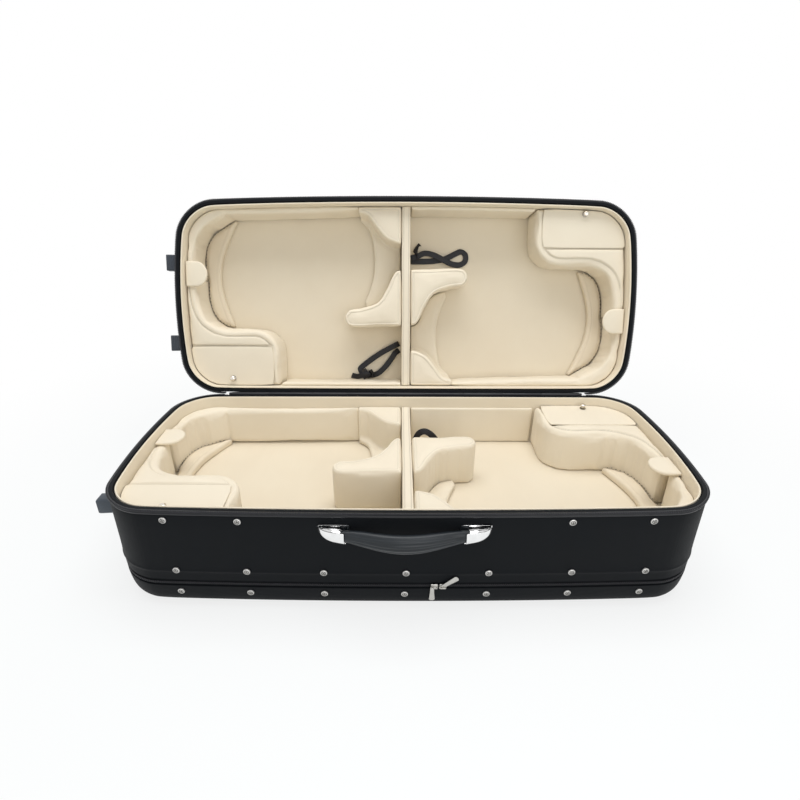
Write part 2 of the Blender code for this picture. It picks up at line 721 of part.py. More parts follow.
def leaf_profile(up):
    """Leaf plate with its rolled knuckle round the pin, across and up from the pin."""
    steps = 4 * EDGE_STEPS
    sweep = [math.pi - i / steps * math.radians(250.0) for i in range(steps + 1)]
    outer = [(KNUCKLE_RADIUS * math.cos(a), KNUCKLE_RADIUS * math.sin(a)) for a in sweep]
    inner = [(BORE_RADIUS * math.cos(a), BORE_RADIUS * math.sin(a)) for a in sweep]
    outline_points = [(-KNUCKLE_RADIUS, -LEAF_HEIGHT)] + outer + inner[::-1] + [(-BORE_RADIUS, -LEAF_HEIGHT)]
    return [(y, -up * z) for y, z in outline_points]


def make_leaf(name, frame, up, first):
    """Hinge leaf whose knuckles stand at every other section."""
    half = HINGE_LENGTH / 2
    profile = leaf_profile(up)
    leaf = loft([[(x, y, z) for y, z in profile] for x in (-half, half)])
    item = place(name, finish(leaf, name), (BLACK, 0.45, 0.8), frame)
    section = HINGE_LENGTH / HINGE_SECTIONS
    cutter = bmesh.new()
    for i in range(1 - first, HINGE_SECTIONS, 2):
        start = -half + i * section - FIT
        end = -half + (i + 1) * section + FIT
        if i == 0:
            start -= OVERRUN
        if i == HINGE_SECTIONS - 1:
            end += OVERRUN
        low, high = sorted((up * (KNUCKLE_RADIUS + FIT), -up * OVERRUN))
        size = (end - start, 2 * OVERRUN, high - low)
        shape = Matrix.LocRotScale(((start + end) / 2, 0.0, (low + high) / 2), None, size)
        bmesh.ops.create_cube(cutter, size=1.0, matrix=shape)
    join(item, helper(f"{name}_cutter", cutter, frame), "DIFFERENCE")
    return item


def make_pin(leaf, frame):
    """Hinge pin with its heads, staked into the base leaf's end knuckles."""
    half = HINGE_LENGTH / 2
    head = KNUCKLE_RADIUS - FIT / 2
    profile = [
        (head, -half - PIN_HEAD), (head, -half + FIT), (PIN_RADIUS, -half + FIT), (PIN_RADIUS, half - FIT),
        (head, half - FIT), (head, half + PIN_HEAD),
    ]
    pin = lathe(profile, 2 * CORNER_STEPS)
    bmesh.ops.rotate(pin, verts=pin.verts, matrix=Matrix.Rotation(math.pi / 2, 3, "Y"))
    join(leaf, helper("hinge_pin", pin, frame), "UNION")


def box(low, high, edge):
    """Block between two corners, with all its edges eased."""
    bm = bmesh.new()
    size = [b - a for a, b in zip(low, high)]
    middle = [(a + b) / 2 for a, b in zip(low, high)]
    bmesh.ops.create_cube(bm, size=1.0, matrix=Matrix.LocRotScale(middle, None, size))
    bmesh.ops.bevel(bm, geom=bm.edges, offset=edge, segments=1, affect="EDGES")
    return bm


def make_rim_sliders(case):
    """Two sliders of the rim zip, parked where the zip meets the hinge."""
    seat = HALF_TOTAL - ZIP_REBATE + FIT
    start = HINGE_LENGTH / 2 + PIN_HEAD + FIT
    for side, sign in (("left", -1), ("right", 1)):
        low_x, high_x = sorted((sign * start, sign * (start + RIM_SLIDER_LENGTH)))
        top = -2 * RIM_GAP
        low = (low_x, seat, top - RIM_SLIDER_HEIGHT)
        body = box(low, (high_x, seat + RIM_SLIDER_THICKNESS, top), SLIDER_EDGE)
        place(f"rim_slider_{side}", finish(body, f"rim_slider_{side}"), (NICKEL, 0.3, 1.0), case)


def cap_section(reach, height):
    """Closed section of the cap's bent sheet, out from the wall and up from the handle's middle."""
    outer = [
        (CAP_OUT * reach * out, CAP_HEIGHT * (1 / 2 - height * down)) for out, down in SECTION_shares
    ]
    return outer + offset(outer, CAP_WALL, closed=False)[::-1]


def make_handle(case):
    """Grip held in two horn-shaped caps, each bent from sheet and open at the top."""
    seat_y = FRONT_WALL_Y - FIT
    for side, sign in (("left", -1), ("right", 1)):
        tip = sign * HANDLE_LENGTH / 2
        rings = [
            [(tip - sign * along * (CAP_LENGTH - CAP_SLANT * out / CAP_OUT), -out, up)
             for out, up in cap_section(reach, height)]
            for along, reach, height in CAP_shares
        ]
        name = f"handle_cap_{side}"
        place(name, finish(loft(rings), name), (CHROME, 0.12, 1.0), case, (HANDLE_X, seat_y, -HANDLE_DEPTH))

    half = HANDLE_LENGTH / 2 - CAP_LENGTH + GRIP_SEAT
    steps, sides = 2 * FRONT_STEPS, 2 * CORNER_STEPS
    rings = []
    for i in range(steps + 1):
        s = i / steps
        rise = math.sin(math.pi * s)
        out = CAP_OUT / 2 + GRIP_REACH * rise**GRIP_BOW_share
        swell = GRIP_END_share + (1 - GRIP_END_share) * rise**GRIP_SWELL_share
        ring = []
        for j in range(sides):
            a = 2 * math.pi * j / sides
            ring.append((
                (2 * s - 1) * half, -out + GRIP_THICKNESS / 2 * swell * math.cos(a),
                GRIP_HEIGHT / 2 * swell * math.sin(a),
            ))
        rings.append(ring)
    grip = finish(loft(rings), "handle_grip")
    place("handle_grip", grip, (GREY, 0.5, 0.0), case, (HANDLE_X, seat_y, -HANDLE_DEPTH))


def make_slider(name, frame):
    """Zip slider: a body with an arch over it, and its origin at the arch's left leg."""
    half = SLIDER_LENGTH / 2
    body = box(
        (-half, -SLIDER_THICKNESS, -SLIDER_HEIGHT / 2), (half, 0.0, SLIDER_HEIGHT / 2), SLIDER_EDGE
    )
    item = place(name, finish(body, name), (NICKEL, 0.3, 1.0), frame)
    leg = POST_SPACING / 2
    sunk = SLIDER_THICKNESS / 2
    top = SLIDER_THICKNESS + ARCH_HEIGHT
    inner, outer = leg - POST_RADIUS, leg + POST_RADIUS
    arch = [
        (-outer, -sunk), (-outer, -top), (outer, -top), (outer, -sunk), (inner, -sunk),
        (inner, -top + ARCH_BAR), (-inner, -top + ARCH_BAR), (-inner, -sunk),
    ]
    shape = loft([level(arch, z) for z in (-POST_RADIUS, POST_RADIUS)])
    join(item, helper(f"{name}_arch", shape, frame), "UNION")
    return item


def make_pull(name, frame, length, turn):
    """Pull tab on the arch's left leg; it hangs down the wall and turns about the leg."""
    neck, wide = PULL_NECK / 2, PULL_WIDTH / 2
    tail = length - neck
    corner = tail - wide / 2
    outline_points = [
        (0.0, -tail), (wide / 2, -tail), (wide, -corner), (wide * PULL_WAIST_share, -corner / 2),
        (neck, 0.0), (neck * EYE_CORNER_share, neck * EYE_CORNER_share), (0.0, neck),
    ]
    mirrored = [(-x, z) for x, z in outline_points[-2:0:-1]]
    outer = outline_points + mirrored
    hole = [
        (PULL_EYE * x / math.hypot(x, z), PULL_EYE * z / math.hypot(x, z)) for x, z in outer
    ]
    near = -SLIDER_THICKNESS - (ARCH_HEIGHT - ARCH_BAR - PULL_THICKNESS) / 2
    far = near - PULL_THICKNESS
    sides = ((outer, near), (outer, far), (hole, far), (hole, near))
    rings = [[(x, y, z) for x, z in run] for run, y in sides]
    bm = loft(rings, wrap=True)
    pull = place(name, finish(bm, name), (NICKEL, 0.3, 1.0), frame, (-POST_SPACING / 2, 0.0, 0.0))
    pull.rotation_euler = (0.0, -turn, 0.0)
    return pull


def make_pocket_zip(case):
    groove_y = FRONT_WALL_Y + ZIP_GROOVE_DEPTH - FIT
    for side, x, length, turn in (
        ("left", SLIDER_LEFT_X, PULL_LENGTH, 0.0),
        ("right", SLIDER_RIGHT_X, RIGHT_PULL_LENGTH, RIGHT_PULL_TURN),
    ):
        frame = empty(f"pocket_slider_{side}_seat", case, (x, groove_y, -SHELL_HEIGHT - POCKET_GAP / 2))
        make_slider(f"pocket_slider_{side}", frame)
        make_pull(f"pocket_pull_{side}", frame, length, turn)


def make_foot(name, frame, y, depth, along, deep, up):
    """Plastic foot whose inner face follows the end wall."""
    end_x = -HALF_LENGTH - END_CROWN
    half = along / 2
    wall = outline(SKIN_INSET - FIT)
    inner = run_between(wall, (end_x, y + half), (end_x, y - half))
    out_x = inner[len(inner) // 2][0] - FOOT_REACH
    shape = inner[::-1] + [(out_x, y + half), (out_x, y - half)]
    low, high = sorted((up * (depth - deep / 2), up * (depth + deep / 2)))
    place(name, finish(slab(shape, low, high, FOOT_EDGE), name), (GREY, 0.5, 0.0), frame)


def make_divider(name, frame, up):
    top, bottom = FOAM_TOP + FIT, FLOOR_LEVEL - FIT
    shape = block(divider_outline(), -bottom, -top, DIVIDER_EDGE)
    if up > 0:
        bmesh.ops.rotate(shape, verts=shape.verts, matrix=Matrix.Rotation(math.pi, 3, "X"))
    place(name, finish(shape, name), (CREAM, 0.9, 0.0), frame)


def build():
    clear_scene()
    case = empty("case", None, (0.0, 0.0, BASE_HEIGHT))
    pivot = empty("lid_pivot", case, (0.0, HINGE_Y, 0.0), (-OPEN_ANGLE, 0.0, 0.0))
    lid = empty("lid", pivot, (0.0, -HINGE_Y, 0.0))

    make_base(case)
    make_lid_shell(lid)
    make_lining("base_lining", case, -1)
    make_lining("lid_lining", lid, 1)
    make_divider("base_divider", case, -1)
    make_divider("lid_divider", lid, 1)
    make_rim_zip("base_rim_zip", case, -1)
    make_rim_zip("lid_rim_zip", lid, 1)

    front_near = Insert(FRONT_CROWN, 0.0)
    front_far = Insert(0.0, FRONT_CROWN)
    near_meshes, far_meshes = {}, {}
    half_turn = (0.0, 0.0, math.pi)
    over = (math.pi, 0.0, 0.0)
    seat = empty("base_left_seat", case)
    make_insert("base_left", seat, near_meshes, front_near, TIE_FLOOR_shares)
    seat = empty("base_right_seat", case, rotation=half_turn)
    make_insert("base_right", seat, far_meshes, front_far, TIE_FLOOR_shares)
    seat = empty("lid_left_seat", lid, rotation=over)
    make_insert("lid_left", seat, far_meshes, front_far, TIE_HANGING_shares)
    seat = empty("lid_right_seat", lid, rotation=(math.pi, 0.0, math.pi))
    make_insert("lid_right", seat, near_meshes, front_near, TIE_RESTING_shares)

    axis = empty("hinge_axis", case, (0.0, HINGE_Y, 0.0))
    base_leaf = make_leaf("hinge_leaf_base", axis, -1, 0)
    make_pin(base_leaf, axis)
    make_leaf("hinge_leaf_lid", pivot, 1, 1)
    make_rim_sliders(case)
    make_handle(case)
    make_pocket_zip(case)

    foot_y = in_line(BASE_FOOT_V_share)
    for name, y in (("base_foot_front", foot_y), ("base_foot_back", -foot_y)):
        make_foot(name, case, y, BASE_FOOT_DEPTH, FOOT_THICKNESS, BASE_FOOT_HEIGHT, -1)
    lid_feet = {"lid_foot_lower": LID_LOWER_FOOT_V_share, "lid_foot_upper": LID_UPPER_FOOT_V_share}
    for name, v_share in lid_feet.items():
        make_foot(name, lid, -in_line(v_share), LID_FOOT_DEPTH, FOOT_LENGTH, FOOT_THICKNESS, 1)


build()
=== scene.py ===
"""Looks of an oblong case for four violins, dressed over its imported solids.

Each bay is shaped on a bench of its own, where the rim plane is z = 0, +Z looks out of the
shell and the divider lies at x = 0, and is then set into the base or the leaning lid.
"""

import json
import math

import bpy
import numpy as np
from mathutils import Matrix, Vector, noise
from mathutils.bvhtree import BVHTree


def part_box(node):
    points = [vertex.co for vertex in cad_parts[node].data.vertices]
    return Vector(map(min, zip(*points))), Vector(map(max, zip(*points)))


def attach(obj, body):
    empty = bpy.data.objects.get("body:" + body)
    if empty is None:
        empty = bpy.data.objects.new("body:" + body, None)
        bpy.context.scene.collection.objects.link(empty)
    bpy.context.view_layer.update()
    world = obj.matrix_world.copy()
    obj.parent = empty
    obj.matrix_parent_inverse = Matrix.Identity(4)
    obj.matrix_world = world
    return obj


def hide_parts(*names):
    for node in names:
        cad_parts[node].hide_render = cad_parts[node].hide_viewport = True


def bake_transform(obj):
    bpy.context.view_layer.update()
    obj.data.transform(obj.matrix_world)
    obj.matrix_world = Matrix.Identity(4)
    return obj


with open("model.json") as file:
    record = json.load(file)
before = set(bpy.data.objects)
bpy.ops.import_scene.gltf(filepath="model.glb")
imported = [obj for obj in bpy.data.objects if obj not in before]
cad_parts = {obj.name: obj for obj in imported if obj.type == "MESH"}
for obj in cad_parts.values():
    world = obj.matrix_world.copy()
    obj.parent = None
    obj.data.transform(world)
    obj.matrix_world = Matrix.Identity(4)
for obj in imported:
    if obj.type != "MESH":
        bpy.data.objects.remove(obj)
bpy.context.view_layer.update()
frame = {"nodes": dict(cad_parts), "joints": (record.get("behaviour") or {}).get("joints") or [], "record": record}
NODES = frame["nodes"]
RECORD = frame["record"]
BODY_OF = {node: body for body, nodes in RECORD["behaviour"]["bodies"].items() for node in nodes}
SLOT_OF = {part["node"]: part["material_slot"] for part in RECORD["subparts"]}
JOINTS = {joint["name"]: joint for joint in frame["joints"]}
HINGE = Vector(JOINTS["lid_hinge"]["pos_m"])
POCKET_HINGE = Vector(JOINTS["pocket_hinge"]["pos_m"])
OPEN_ANGLE = math.radians(JOINTS["lid_hinge"]["range_deg"][1])

# Rim outline of the case, in metres
HALF_LENGTH = 0.432
HALF_DEPTH = 0.184
CORNER_RADIUS = 0.066
END_CROWN = 0.0155
FRONT_CROWN = 0.0090
ZIP_DEPTH = 0.1315  # rim to the pocket's zip
HINGE_HALF = 0.360  # half of the hinge with the sliders beside it
WALL_INSET = 0.0132  # rim to the lining's wall

# Levels in a bay, from the rim plane, and lines across it
FOAM_TOP = -0.0203
PANEL_TOP = -0.0172
FLOOR = -0.0980
FLAP_EDGE_X = -0.2644
CREASE_Y = -0.0965
TAB_Y = 0.0449

# Soft trim and small hardware
RIBBON_WIDTH = 0.0120
RIBBON_THICKNESS = 0.0009
RIBBON_LEVEL = -0.0955  # middle of a ribbon that lies on the floor
STITCH_PITCH = 0.0075
TAPE_LENGTH, TAPE_HEIGHT = 0.732, 0.0106  # cloth hinge of the pocket
TAPE_THICKNESS = 0.0010
TOOTH_PITCH = 0.0032
TOOTH_SIZE = (0.0016, 0.0016, 0.0024)
SCREW_RADIUS = 0.0050
SCREW_DEPTH = 0.0016
PIN_RADIUS = 0.0024
PIN_LENGTH = 0.699

# Cloth that swells over the foam
CLOTH_STIFFNESS = 12.0
CLOTH_FRAMES = 12

# Camera fitted to the photograph, its height given from the lid's hinge
EYE_X, EYE_Y, EYE_ABOVE_HINGE = -0.01516, -0.76627, 0.45151
CAMERA_TILT = math.radians(25.95)
CAMERA_TURN, CAMERA_ROLL = -0.00406, -0.00441
SENSOR_WIDTH, FOCAL_LENGTH = 36.0, 23.92

# Frames of the shells and the bays
BASE = Matrix.Translation((0.0, 0.0, HINGE.z))
LID = (
    Matrix.Translation(HINGE) @ Matrix.Rotation(-OPEN_ANGLE, 4, "X")
    @ Matrix.Translation((0.0, -HINGE.y, 0.0))
)
TURN = Matrix.Rotation(math.pi, 4, "Z")
OVER = Matrix.Rotation(math.pi, 4, "X")
BAYS = {
    "base_left": BASE, "base_right": BASE @ TURN,
    "lid_left": LID @ OVER, "lid_right": LID @ OVER @ TURN,
}
# The first bay of each pair is shaped, and the second takes a turned copy of its pads
PAIRS = (("base_left", "lid_right"), ("base_right", "lid_left"))


# Shader kit


# Sockets that are found by their place
OBJECT_COORDINATES = 3  # in Texture Coordinate
ATTRIBUTE_FACTOR = 2  # in Attribute
MIX_FIRST, MIX_SECOND, MIX_RESULT = 6, 7, 2  # in Mix, for colours


class Value:
    """Shader socket that takes arithmetic: each operation adds a Math node."""

    def __init__(self, nodes, socket):
        self.nodes = nodes
        self.socket = socket

    def math(self, operation, *others):
        return self.nodes.add("ShaderNodeMath", {"operation": operation}, self, *others)

    def __add__(self, other):
        return self.math("ADD", other)

    def __sub__(self, other):
        return self.math("SUBTRACT", other)

    def __rsub__(self, other):
        return self.nodes.add("ShaderNodeMath", {"operation": "SUBTRACT"}, other, self)

    def __mul__(self, other):
        return self.math("MULTIPLY", other)

    def __pow__(self, other):
        return self.math("POWER", other)

    __radd__ = __add__
    __rmul__ = __mul__

    def sine(self):
        return self.math("SINE")


class Nodes:
    """A tree of shader nodes, and the one way in which nodes come into it."""

    def __init__(self, tree):
        self.tree = tree

    def feed(self, socket, value):
        if isinstance(value, Value):
            self.tree.links.new(value.socket, socket)
        elif isinstance(value, tuple) and len(value) == 3 and socket.type == "RGBA":
            socket.default_value = (*value, 1.0)
        else:
            socket.default_value = value

    def add(self, kind, settings, *values, output=0, **sockets):
        """Adds a node: its settings first, then its sockets by place or by name."""
        node = self.tree.nodes.new(kind)
        for key, value in settings.items():
            setattr(node, key, value)
        for place, value in enumerate(values):
            self.feed(node.inputs[place], value)
        for key, value in sockets.items():
            self.feed(node.inputs[key.replace("_", " ")], value)
        return Value(self, node.outputs[output])

    def seen_rays(self):
        """1 on the rays that show the backdrop itself, also in metal and glass."""
        rays = self.add("ShaderNodeLightPath", {}).socket.node.outputs
        seen = Value(self, rays["Is Camera Ray"])
        for name in ("Is Glossy Ray", "Is Transmission Ray"):
            seen = seen.math("MAXIMUM", Value(self, rays[name]))
        return seen


class Paint(Nodes):
    """One material and the nodes that it is mixed from."""

    def __init__(self, name, color, roughness, **sockets):
        self.material = bpy.data.materials.new(name)
        self.material.use_nodes = True
        super().__init__(self.material.node_tree)
        self.shader = self.tree.nodes["Principled BSDF"]
        self.set(Base_Color=color, Roughness=roughness, **sockets)

    def set(self, **sockets):
        for key, value in sockets.items():
            self.feed(self.shader.inputs[key.replace("_", " ")], value)

    def spot(self):
        """Place on the object, in metres."""
        return self.add("ShaderNodeTexCoord", {}, output=OBJECT_COORDINATES)

    def place(self, stretch=(1.0, 1.0, 1.0)):
        return self.add("ShaderNodeMapping", {}, Vector=self.spot(), Scale=stretch)

    def axes(self):
        """The three object coordinates, each as a value in metres."""
        split = self.add("ShaderNodeSeparateXYZ", {}, self.spot()).socket.node
        return [Value(self, socket) for socket in split.outputs]

    def mottle(self, scale, detail=3.0, stretch=(1.0, 1.0, 1.0)):
        """Noise between 0 and 1, with so many cells to the metre."""
        where = self.place(stretch)
        return self.add("ShaderNodeTexNoise", {}, Vector=where, Scale=scale, Detail=detail, Roughness=0.55)

    def attribute(self, name):
        return self.add("ShaderNodeAttribute", {"attribute_name": name}, output=ATTRIBUTE_FACTOR)

    def mix(self, factor, first, second):
        mixed = self.add("ShaderNodeMix", {"data_type": "RGBA"}, factor, output=MIX_RESULT)
        self.feed(mixed.socket.node.inputs[MIX_FIRST], first)
        self.feed(mixed.socket.node.inputs[MIX_SECOND], second)
        return mixed

    def ramp(self, value, low, high):
        """0 below the low value and 1 above the high one."""
        smooth = {"interpolation_type": "SMOOTHSTEP"}
        return self.add("ShaderNodeMapRange", smooth, Value=value, From_Min=low, From_Max=high)

    def bump(self, height, distance, strength):
        self.set(Normal=self.add("ShaderNodeBump", {}, Height=height, Distance=distance, Strength=strength))

    def weave(self, pitch):
        """Plain weave of crossing threads, on any face."""
        turns = 2 * math.pi / pitch
        x, y, z = self.axes()
        return ((x * turns).sine() + (y * turns).sine() + (z * turns).sine()) * 0.33


def suede(name, color, deep, nap):
    """Short-pile cloth with soft shading where the pile lies differently."""
    paint = Paint(name, color, 0.92, Sheen_Weight=0.15, Sheen_Roughness=0.5, Specular_IOR_Level=0.12)
    cloud = paint.mottle(7.0, 2.0)
    streak = paint.mottle(30.0, 2.0, (1.0, 0.35, 1.0))
    pile = paint.mottle(nap, 2.0)
    shade = paint.ramp(cloud * 0.7 + streak * 0.3, 0.30, 0.70)
    tone = paint.mix(shade, deep, color)
    # The seam mark darkens the colour: partly the seams' own line, partly painted shade in their grooves and
    # creases
    seam = paint.attribute("seam")
    paint.set(Base_Color=paint.mix(seam * 0.55, tone, tuple(c * 0.42 for c in deep)))
    paint.bump(pile * 0.35 + paint.mottle(55.0, 2.0) * 0.6 - seam * 1.2, distance=0.0005, strength=0.5)
    return paint.material


def nylon(name, color, pitch):
    """Tight black cloth with a fine weave and a faint sheen."""
    paint = Paint(name, color, 0.60, Specular_IOR_Level=0.12, Sheen_Weight=0.02, Sheen_Roughness=0.4)
    wear = paint.ramp(paint.mottle(14.0, 4.0), 0.35, 0.70)
    threads = paint.weave(pitch)
    pale = tuple(c * 1.5 for c in color)
    paint.set(Base_Color=paint.mix(wear * 0.4 + threads * 0.25, color, pale))
    paint.set(Roughness=wear * 0.05 + 0.57)
    paint.bump(threads + paint.mottle(22.0, 2.0) * 2.4, distance=0.00018, strength=0.5)
    return paint.material


def tape(name, color, roughness):
    """Ribbed zip tape or ribbon."""
    paint = Paint(name, color, roughness, Specular_IOR_Level=0.35, Sheen_Weight=0.05)
    ribs = paint.weave(0.0012)
    paint.set(Base_Color=paint.mix(ribs * 0.5 + 0.5, color, tuple(c * 1.6 for c in color)))
    paint.bump(ribs, distance=0.00020, strength=0.5)
    return paint.material


def plated(name, color, roughness, scratch, grime=False):
    """Bright plating with fine handling marks, and painted shade where its piece marks it, if it has any."""
    paint = Paint(name, color, roughness, Metallic=1.0)
    haze = paint.ramp(paint.mottle(120.0, 4.0), 0.35, 0.75)
    lines = paint.mottle(900.0, 2.0, (1.0, 0.12, 0.12))
    paint.set(Roughness=haze * scratch + roughness)
    tone = paint.mix(haze * 0.35, color, tuple(c * 0.82 for c in color))
    # Painted shade: where the piece marks it, the plating darkens towards a tenth of its colour
    if grime:
        tone = paint.mix(paint.attribute("grime"), tone, tuple(c * 0.10 for c in color))
    paint.set(Base_Color=tone)
    paint.bump(lines, distance=0.00003, strength=0.35)
    return paint.material


def hide(name, color):
    """Pebbled leathercloth of the grip."""
    paint = Paint(name, color, 0.36, Specular_IOR_Level=0.35, Coat_Weight=0.05, Coat_Roughness=0.30)
    grain = paint.add("ShaderNodeTexVoronoi", {}, Vector=paint.place(), Scale=900.0)
    wear = paint.ramp(paint.mottle(45.0, 3.0, (0.3, 1.0, 1.0)), 0.3, 0.75)
    paint.set(Base_Color=paint.mix(wear, color, tuple(c * 1.6 for c in color)))
    paint.set(Roughness=wear * 0.14 + 0.32)
    creases = paint.mottle(70.0, 3.0, (0.25, 1.0, 1.0))
    paint.bump(grain * 0.5 + creases * 1.2, distance=0.0003, strength=0.45)
    return paint.material


def moulded(name, color, roughness, ribs=0.0):
    """Fine-textured plastic or paint, with ribs along x at a pitch if one is given."""
    paint = Paint(name, color, roughness, Specular_IOR_Level=0.4)
    rub = paint.ramp(paint.mottle(60.0, 3.0), 0.4, 0.8)
    paint.set(Roughness=rub * 0.18 + roughness)
    paint.set(Base_Color=paint.mix(rub * 0.5, color, tuple(min(c * 1.5, 1.0) for c in color)))
    relief = paint.mottle(1400.0, 2.0)
    if ribs:
        relief = relief + (paint.axes()[0] * (2 * math.pi / ribs)).sine() * 4.0
    paint.bump(relief, distance=0.00012, strength=0.5)
    return paint.material


FINISH = {
    "nylon_cloth": nylon("black nylon", (0.0026, 0.0036, 0.0049), 0.0011),
    "zip_tape": tape("black zip tape", (0.0042, 0.0048, 0.0070), 0.40),
    "cream_lining": suede("cream lining", (0.80, 0.72, 0.575), (0.775, 0.69, 0.545), 1500.0),
    "cream_foam": suede("cream suede", (0.82, 0.745, 0.605), (0.79, 0.71, 0.57), 1700.0),
    "cream_plush": suede("cream plush", (0.79, 0.705, 0.56), (0.75, 0.66, 0.515), 1100.0),
    "black_ribbon": tape("black ribbon", (0.007, 0.007, 0.009), 0.5),
    "grip_leather": hide("grip leathercloth", (0.0085, 0.0115, 0.0145)),
    "cap_chrome": plated("bright chrome", (0.88, 0.88, 0.88), 0.05, scratch=0.06),
    "nickel": plated("satin nickel", (0.56, 0.55, 0.52), 0.24, scratch=0.16),
    "hinge_steel": moulded("black hinge steel", (0.012, 0.013, 0.016), 0.35),
    "foot_plastic": moulded("slate foot plastic", (0.050, 0.062, 0.078), 0.30),
    "knob_metal": plated("turned knob", (0.74, 0.69, 0.61), 0.16, scratch=0.14, grime=True),
}
SCREW = plated("screw nickel", (0.62, 0.61, 0.59), 0.36, scratch=0.16, grime=True)
RIBBED = moulded("ribbed foot plastic", (0.030, 0.038, 0.050), 0.34, ribs=0.0045)
THREAD = moulded("dark thread", (0.020, 0.018, 0.016), 0.55)
TEETH = moulded("black zip teeth", (0.014, 0.014, 0.018), 0.28)


# Bench tools


def link(item):
    bpy.context.scene.collection.objects.link(item)


def only(*pieces):
    bpy.ops.object.select_all(action="DESELECT")
    for piece in pieces:
        piece.select_set(True)
    bpy.context.view_layer.objects.active = pieces[0]


def primitive(kind, name, **settings):
    bpy.ops.object.select_all(action="DESELECT")
    getattr(bpy.ops.mesh, f"primitive_{kind}_add")(**settings)
    piece = bpy.context.object
    piece.name = name
    return piece


def edit(piece, *steps):
    """Runs mesh operators on all of a piece, each given as its name and its settings."""
    only(piece)
    bpy.ops.object.mode_set(mode="EDIT")
    for operator, settings in steps:
        bpy.ops.mesh.select_all(action="SELECT")
        getattr(bpy.ops.mesh, operator)(**settings)
    bpy.ops.object.mode_set(mode="OBJECT")


def sink(piece, test, *steps):
    """Insets the faces whose centre and normal pass the test, each step by a width and a depth."""
    only(piece)
    bpy.ops.object.mode_set(mode="EDIT")
    bpy.ops.mesh.select_mode(type="FACE")
    bpy.ops.mesh.select_all(action="DESELECT")
    bpy.ops.object.mode_set(mode="OBJECT")
    for face in piece.data.polygons:
        face.select = test(face.center, face.normal)
    bpy.ops.object.mode_set(mode="EDIT")
    for thickness, depth in steps:
        bpy.ops.mesh.inset(thickness=thickness, depth=depth)
    bpy.ops.object.mode_set(mode="OBJECT")


def modify(piece, kind, **settings):
    """Adds a modifier and applies it."""
    only(piece)
    modifier = piece.modifiers.new(kind.title(), kind)
    for key, value in settings.items():
        setattr(modifier, key, value)
    bpy.ops.object.modifier_apply(modifier=modifier.name)


def subdivide(piece, levels=1):
    modify(piece, "SUBSURF", levels=levels, render_levels=levels)


def remesh(piece, grid, smoothing):
    """Even mesh over a piece, with its edges smoothed down."""
    modify(piece, "REMESH", mode="VOXEL", voxel_size=grid)
    modify(piece, "SMOOTH", factor=0.5, iterations=smoothing)


def shade(piece, angle):
    """Smooth shading, but for edges sharper than the angle in degrees."""
    only(piece)
    bpy.ops.object.shade_smooth_by_angle(angle=math.radians(angle))


def points_of(piece):
    flat = np.empty(len(piece.data.vertices) * 3)
    piece.data.vertices.foreach_get("co", flat)
    return flat.reshape(-1, 3)


def set_points(piece, points):
    piece.data.vertices.foreach_set("co", np.asarray(points).ravel())
    piece.data.update()


def normals_of(piece):
    flat = np.empty(len(piece.data.vertices) * 3)
    piece.data.vertex_normals.foreach_get("vector", flat)
    return flat.reshape(-1, 3)


def loose_copy(node, name, bench=Matrix.Identity(4)):
    """Welded copy of a CAD node, in a bench's frame."""
    mesh = NODES[node].data.copy()
    mesh.materials.clear()
    piece = bpy.data.objects.new(name, mesh)
    link(piece)
    mesh.transform(bench.inverted())
    only(piece)
    bpy.ops.mesh.customdata_custom_splitnormals_clear()
    edit(piece, ("remove_doubles", {"threshold": 0.00001}), ("tris_convert_to_quads", {}))
    return piece


def dress(piece, node, finish=None, bench=None):
    """The piece stands for a CAD node: it rides on the node's body and takes its slot's finish."""
    trim(piece, BODY_OF[node], finish or FINISH[SLOT_OF[node]], bench)
    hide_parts(node)


def trim(piece, body, finish, bench=None):
    """A piece of the scene's own, on a body, moved there from its bench if it has one."""
    if bench:
        piece.data.transform(bench)
    coat(piece, finish)
    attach(piece, body)


def coat(piece, finish):
    piece.data.materials.clear()
    piece.data.materials.append(finish)


def smooth_round(piece, levels=2, sharp=50.0, crease=0.92):
    """Subdivides a faceted piece and keeps the edges that are sharper than the angle in degrees."""
    only(piece)
    bpy.ops.object.mode_set(mode="EDIT")
    bpy.ops.mesh.select_mode(type="EDGE")
    bpy.ops.mesh.select_all(action="DESELECT")
    bpy.ops.mesh.edges_select_sharp(sharpness=math.radians(sharp))
    bpy.ops.transform.edge_crease(value=crease)
    bpy.ops.mesh.select_all(action="SELECT")
    bpy.ops.object.mode_set(mode="OBJECT")
    subdivide(piece, levels)
    shade(piece, 40.0)


def eased(piece, width):
    """Rounds a hard piece's edges."""
    modify(piece, "BEVEL", width=width, segments=2, limit_method="ANGLE", angle_limit=math.radians(35.0))
    shade(piece, 30.0)


def laid_out(proto, places, name):
    """One piece made of turned and moved copies of a small shape."""
    copies = []
    for place in places:
        copy = proto.copy()
        copy.data = proto.data.copy()
        copy.data.transform(place)
        link(copy)
        copies.append(copy)
    only(*copies)
    bpy.ops.object.join()
    copies[0].name = name
    return copies[0]


def step_between(values, low, high):
    """Rises smoothly from 0 at the low value to 1 at the high one."""
    share = np.clip((values - low) / (high - low), 0.0, 1.0)
    return share * share * (3 - 2 * share)


def groove(gap, at, width):
    """1 along a line at a distance from an edge, fading to both sides."""
    return np.exp(-(((gap - at) / width) ** 2))


def rounded(gap, at, width):
    """Round profile: 1 along a line at a distance from an edge, and 0 past the width."""
    return np.clip(1 - ((gap - at) / width) ** 2, 0.0, 1.0)


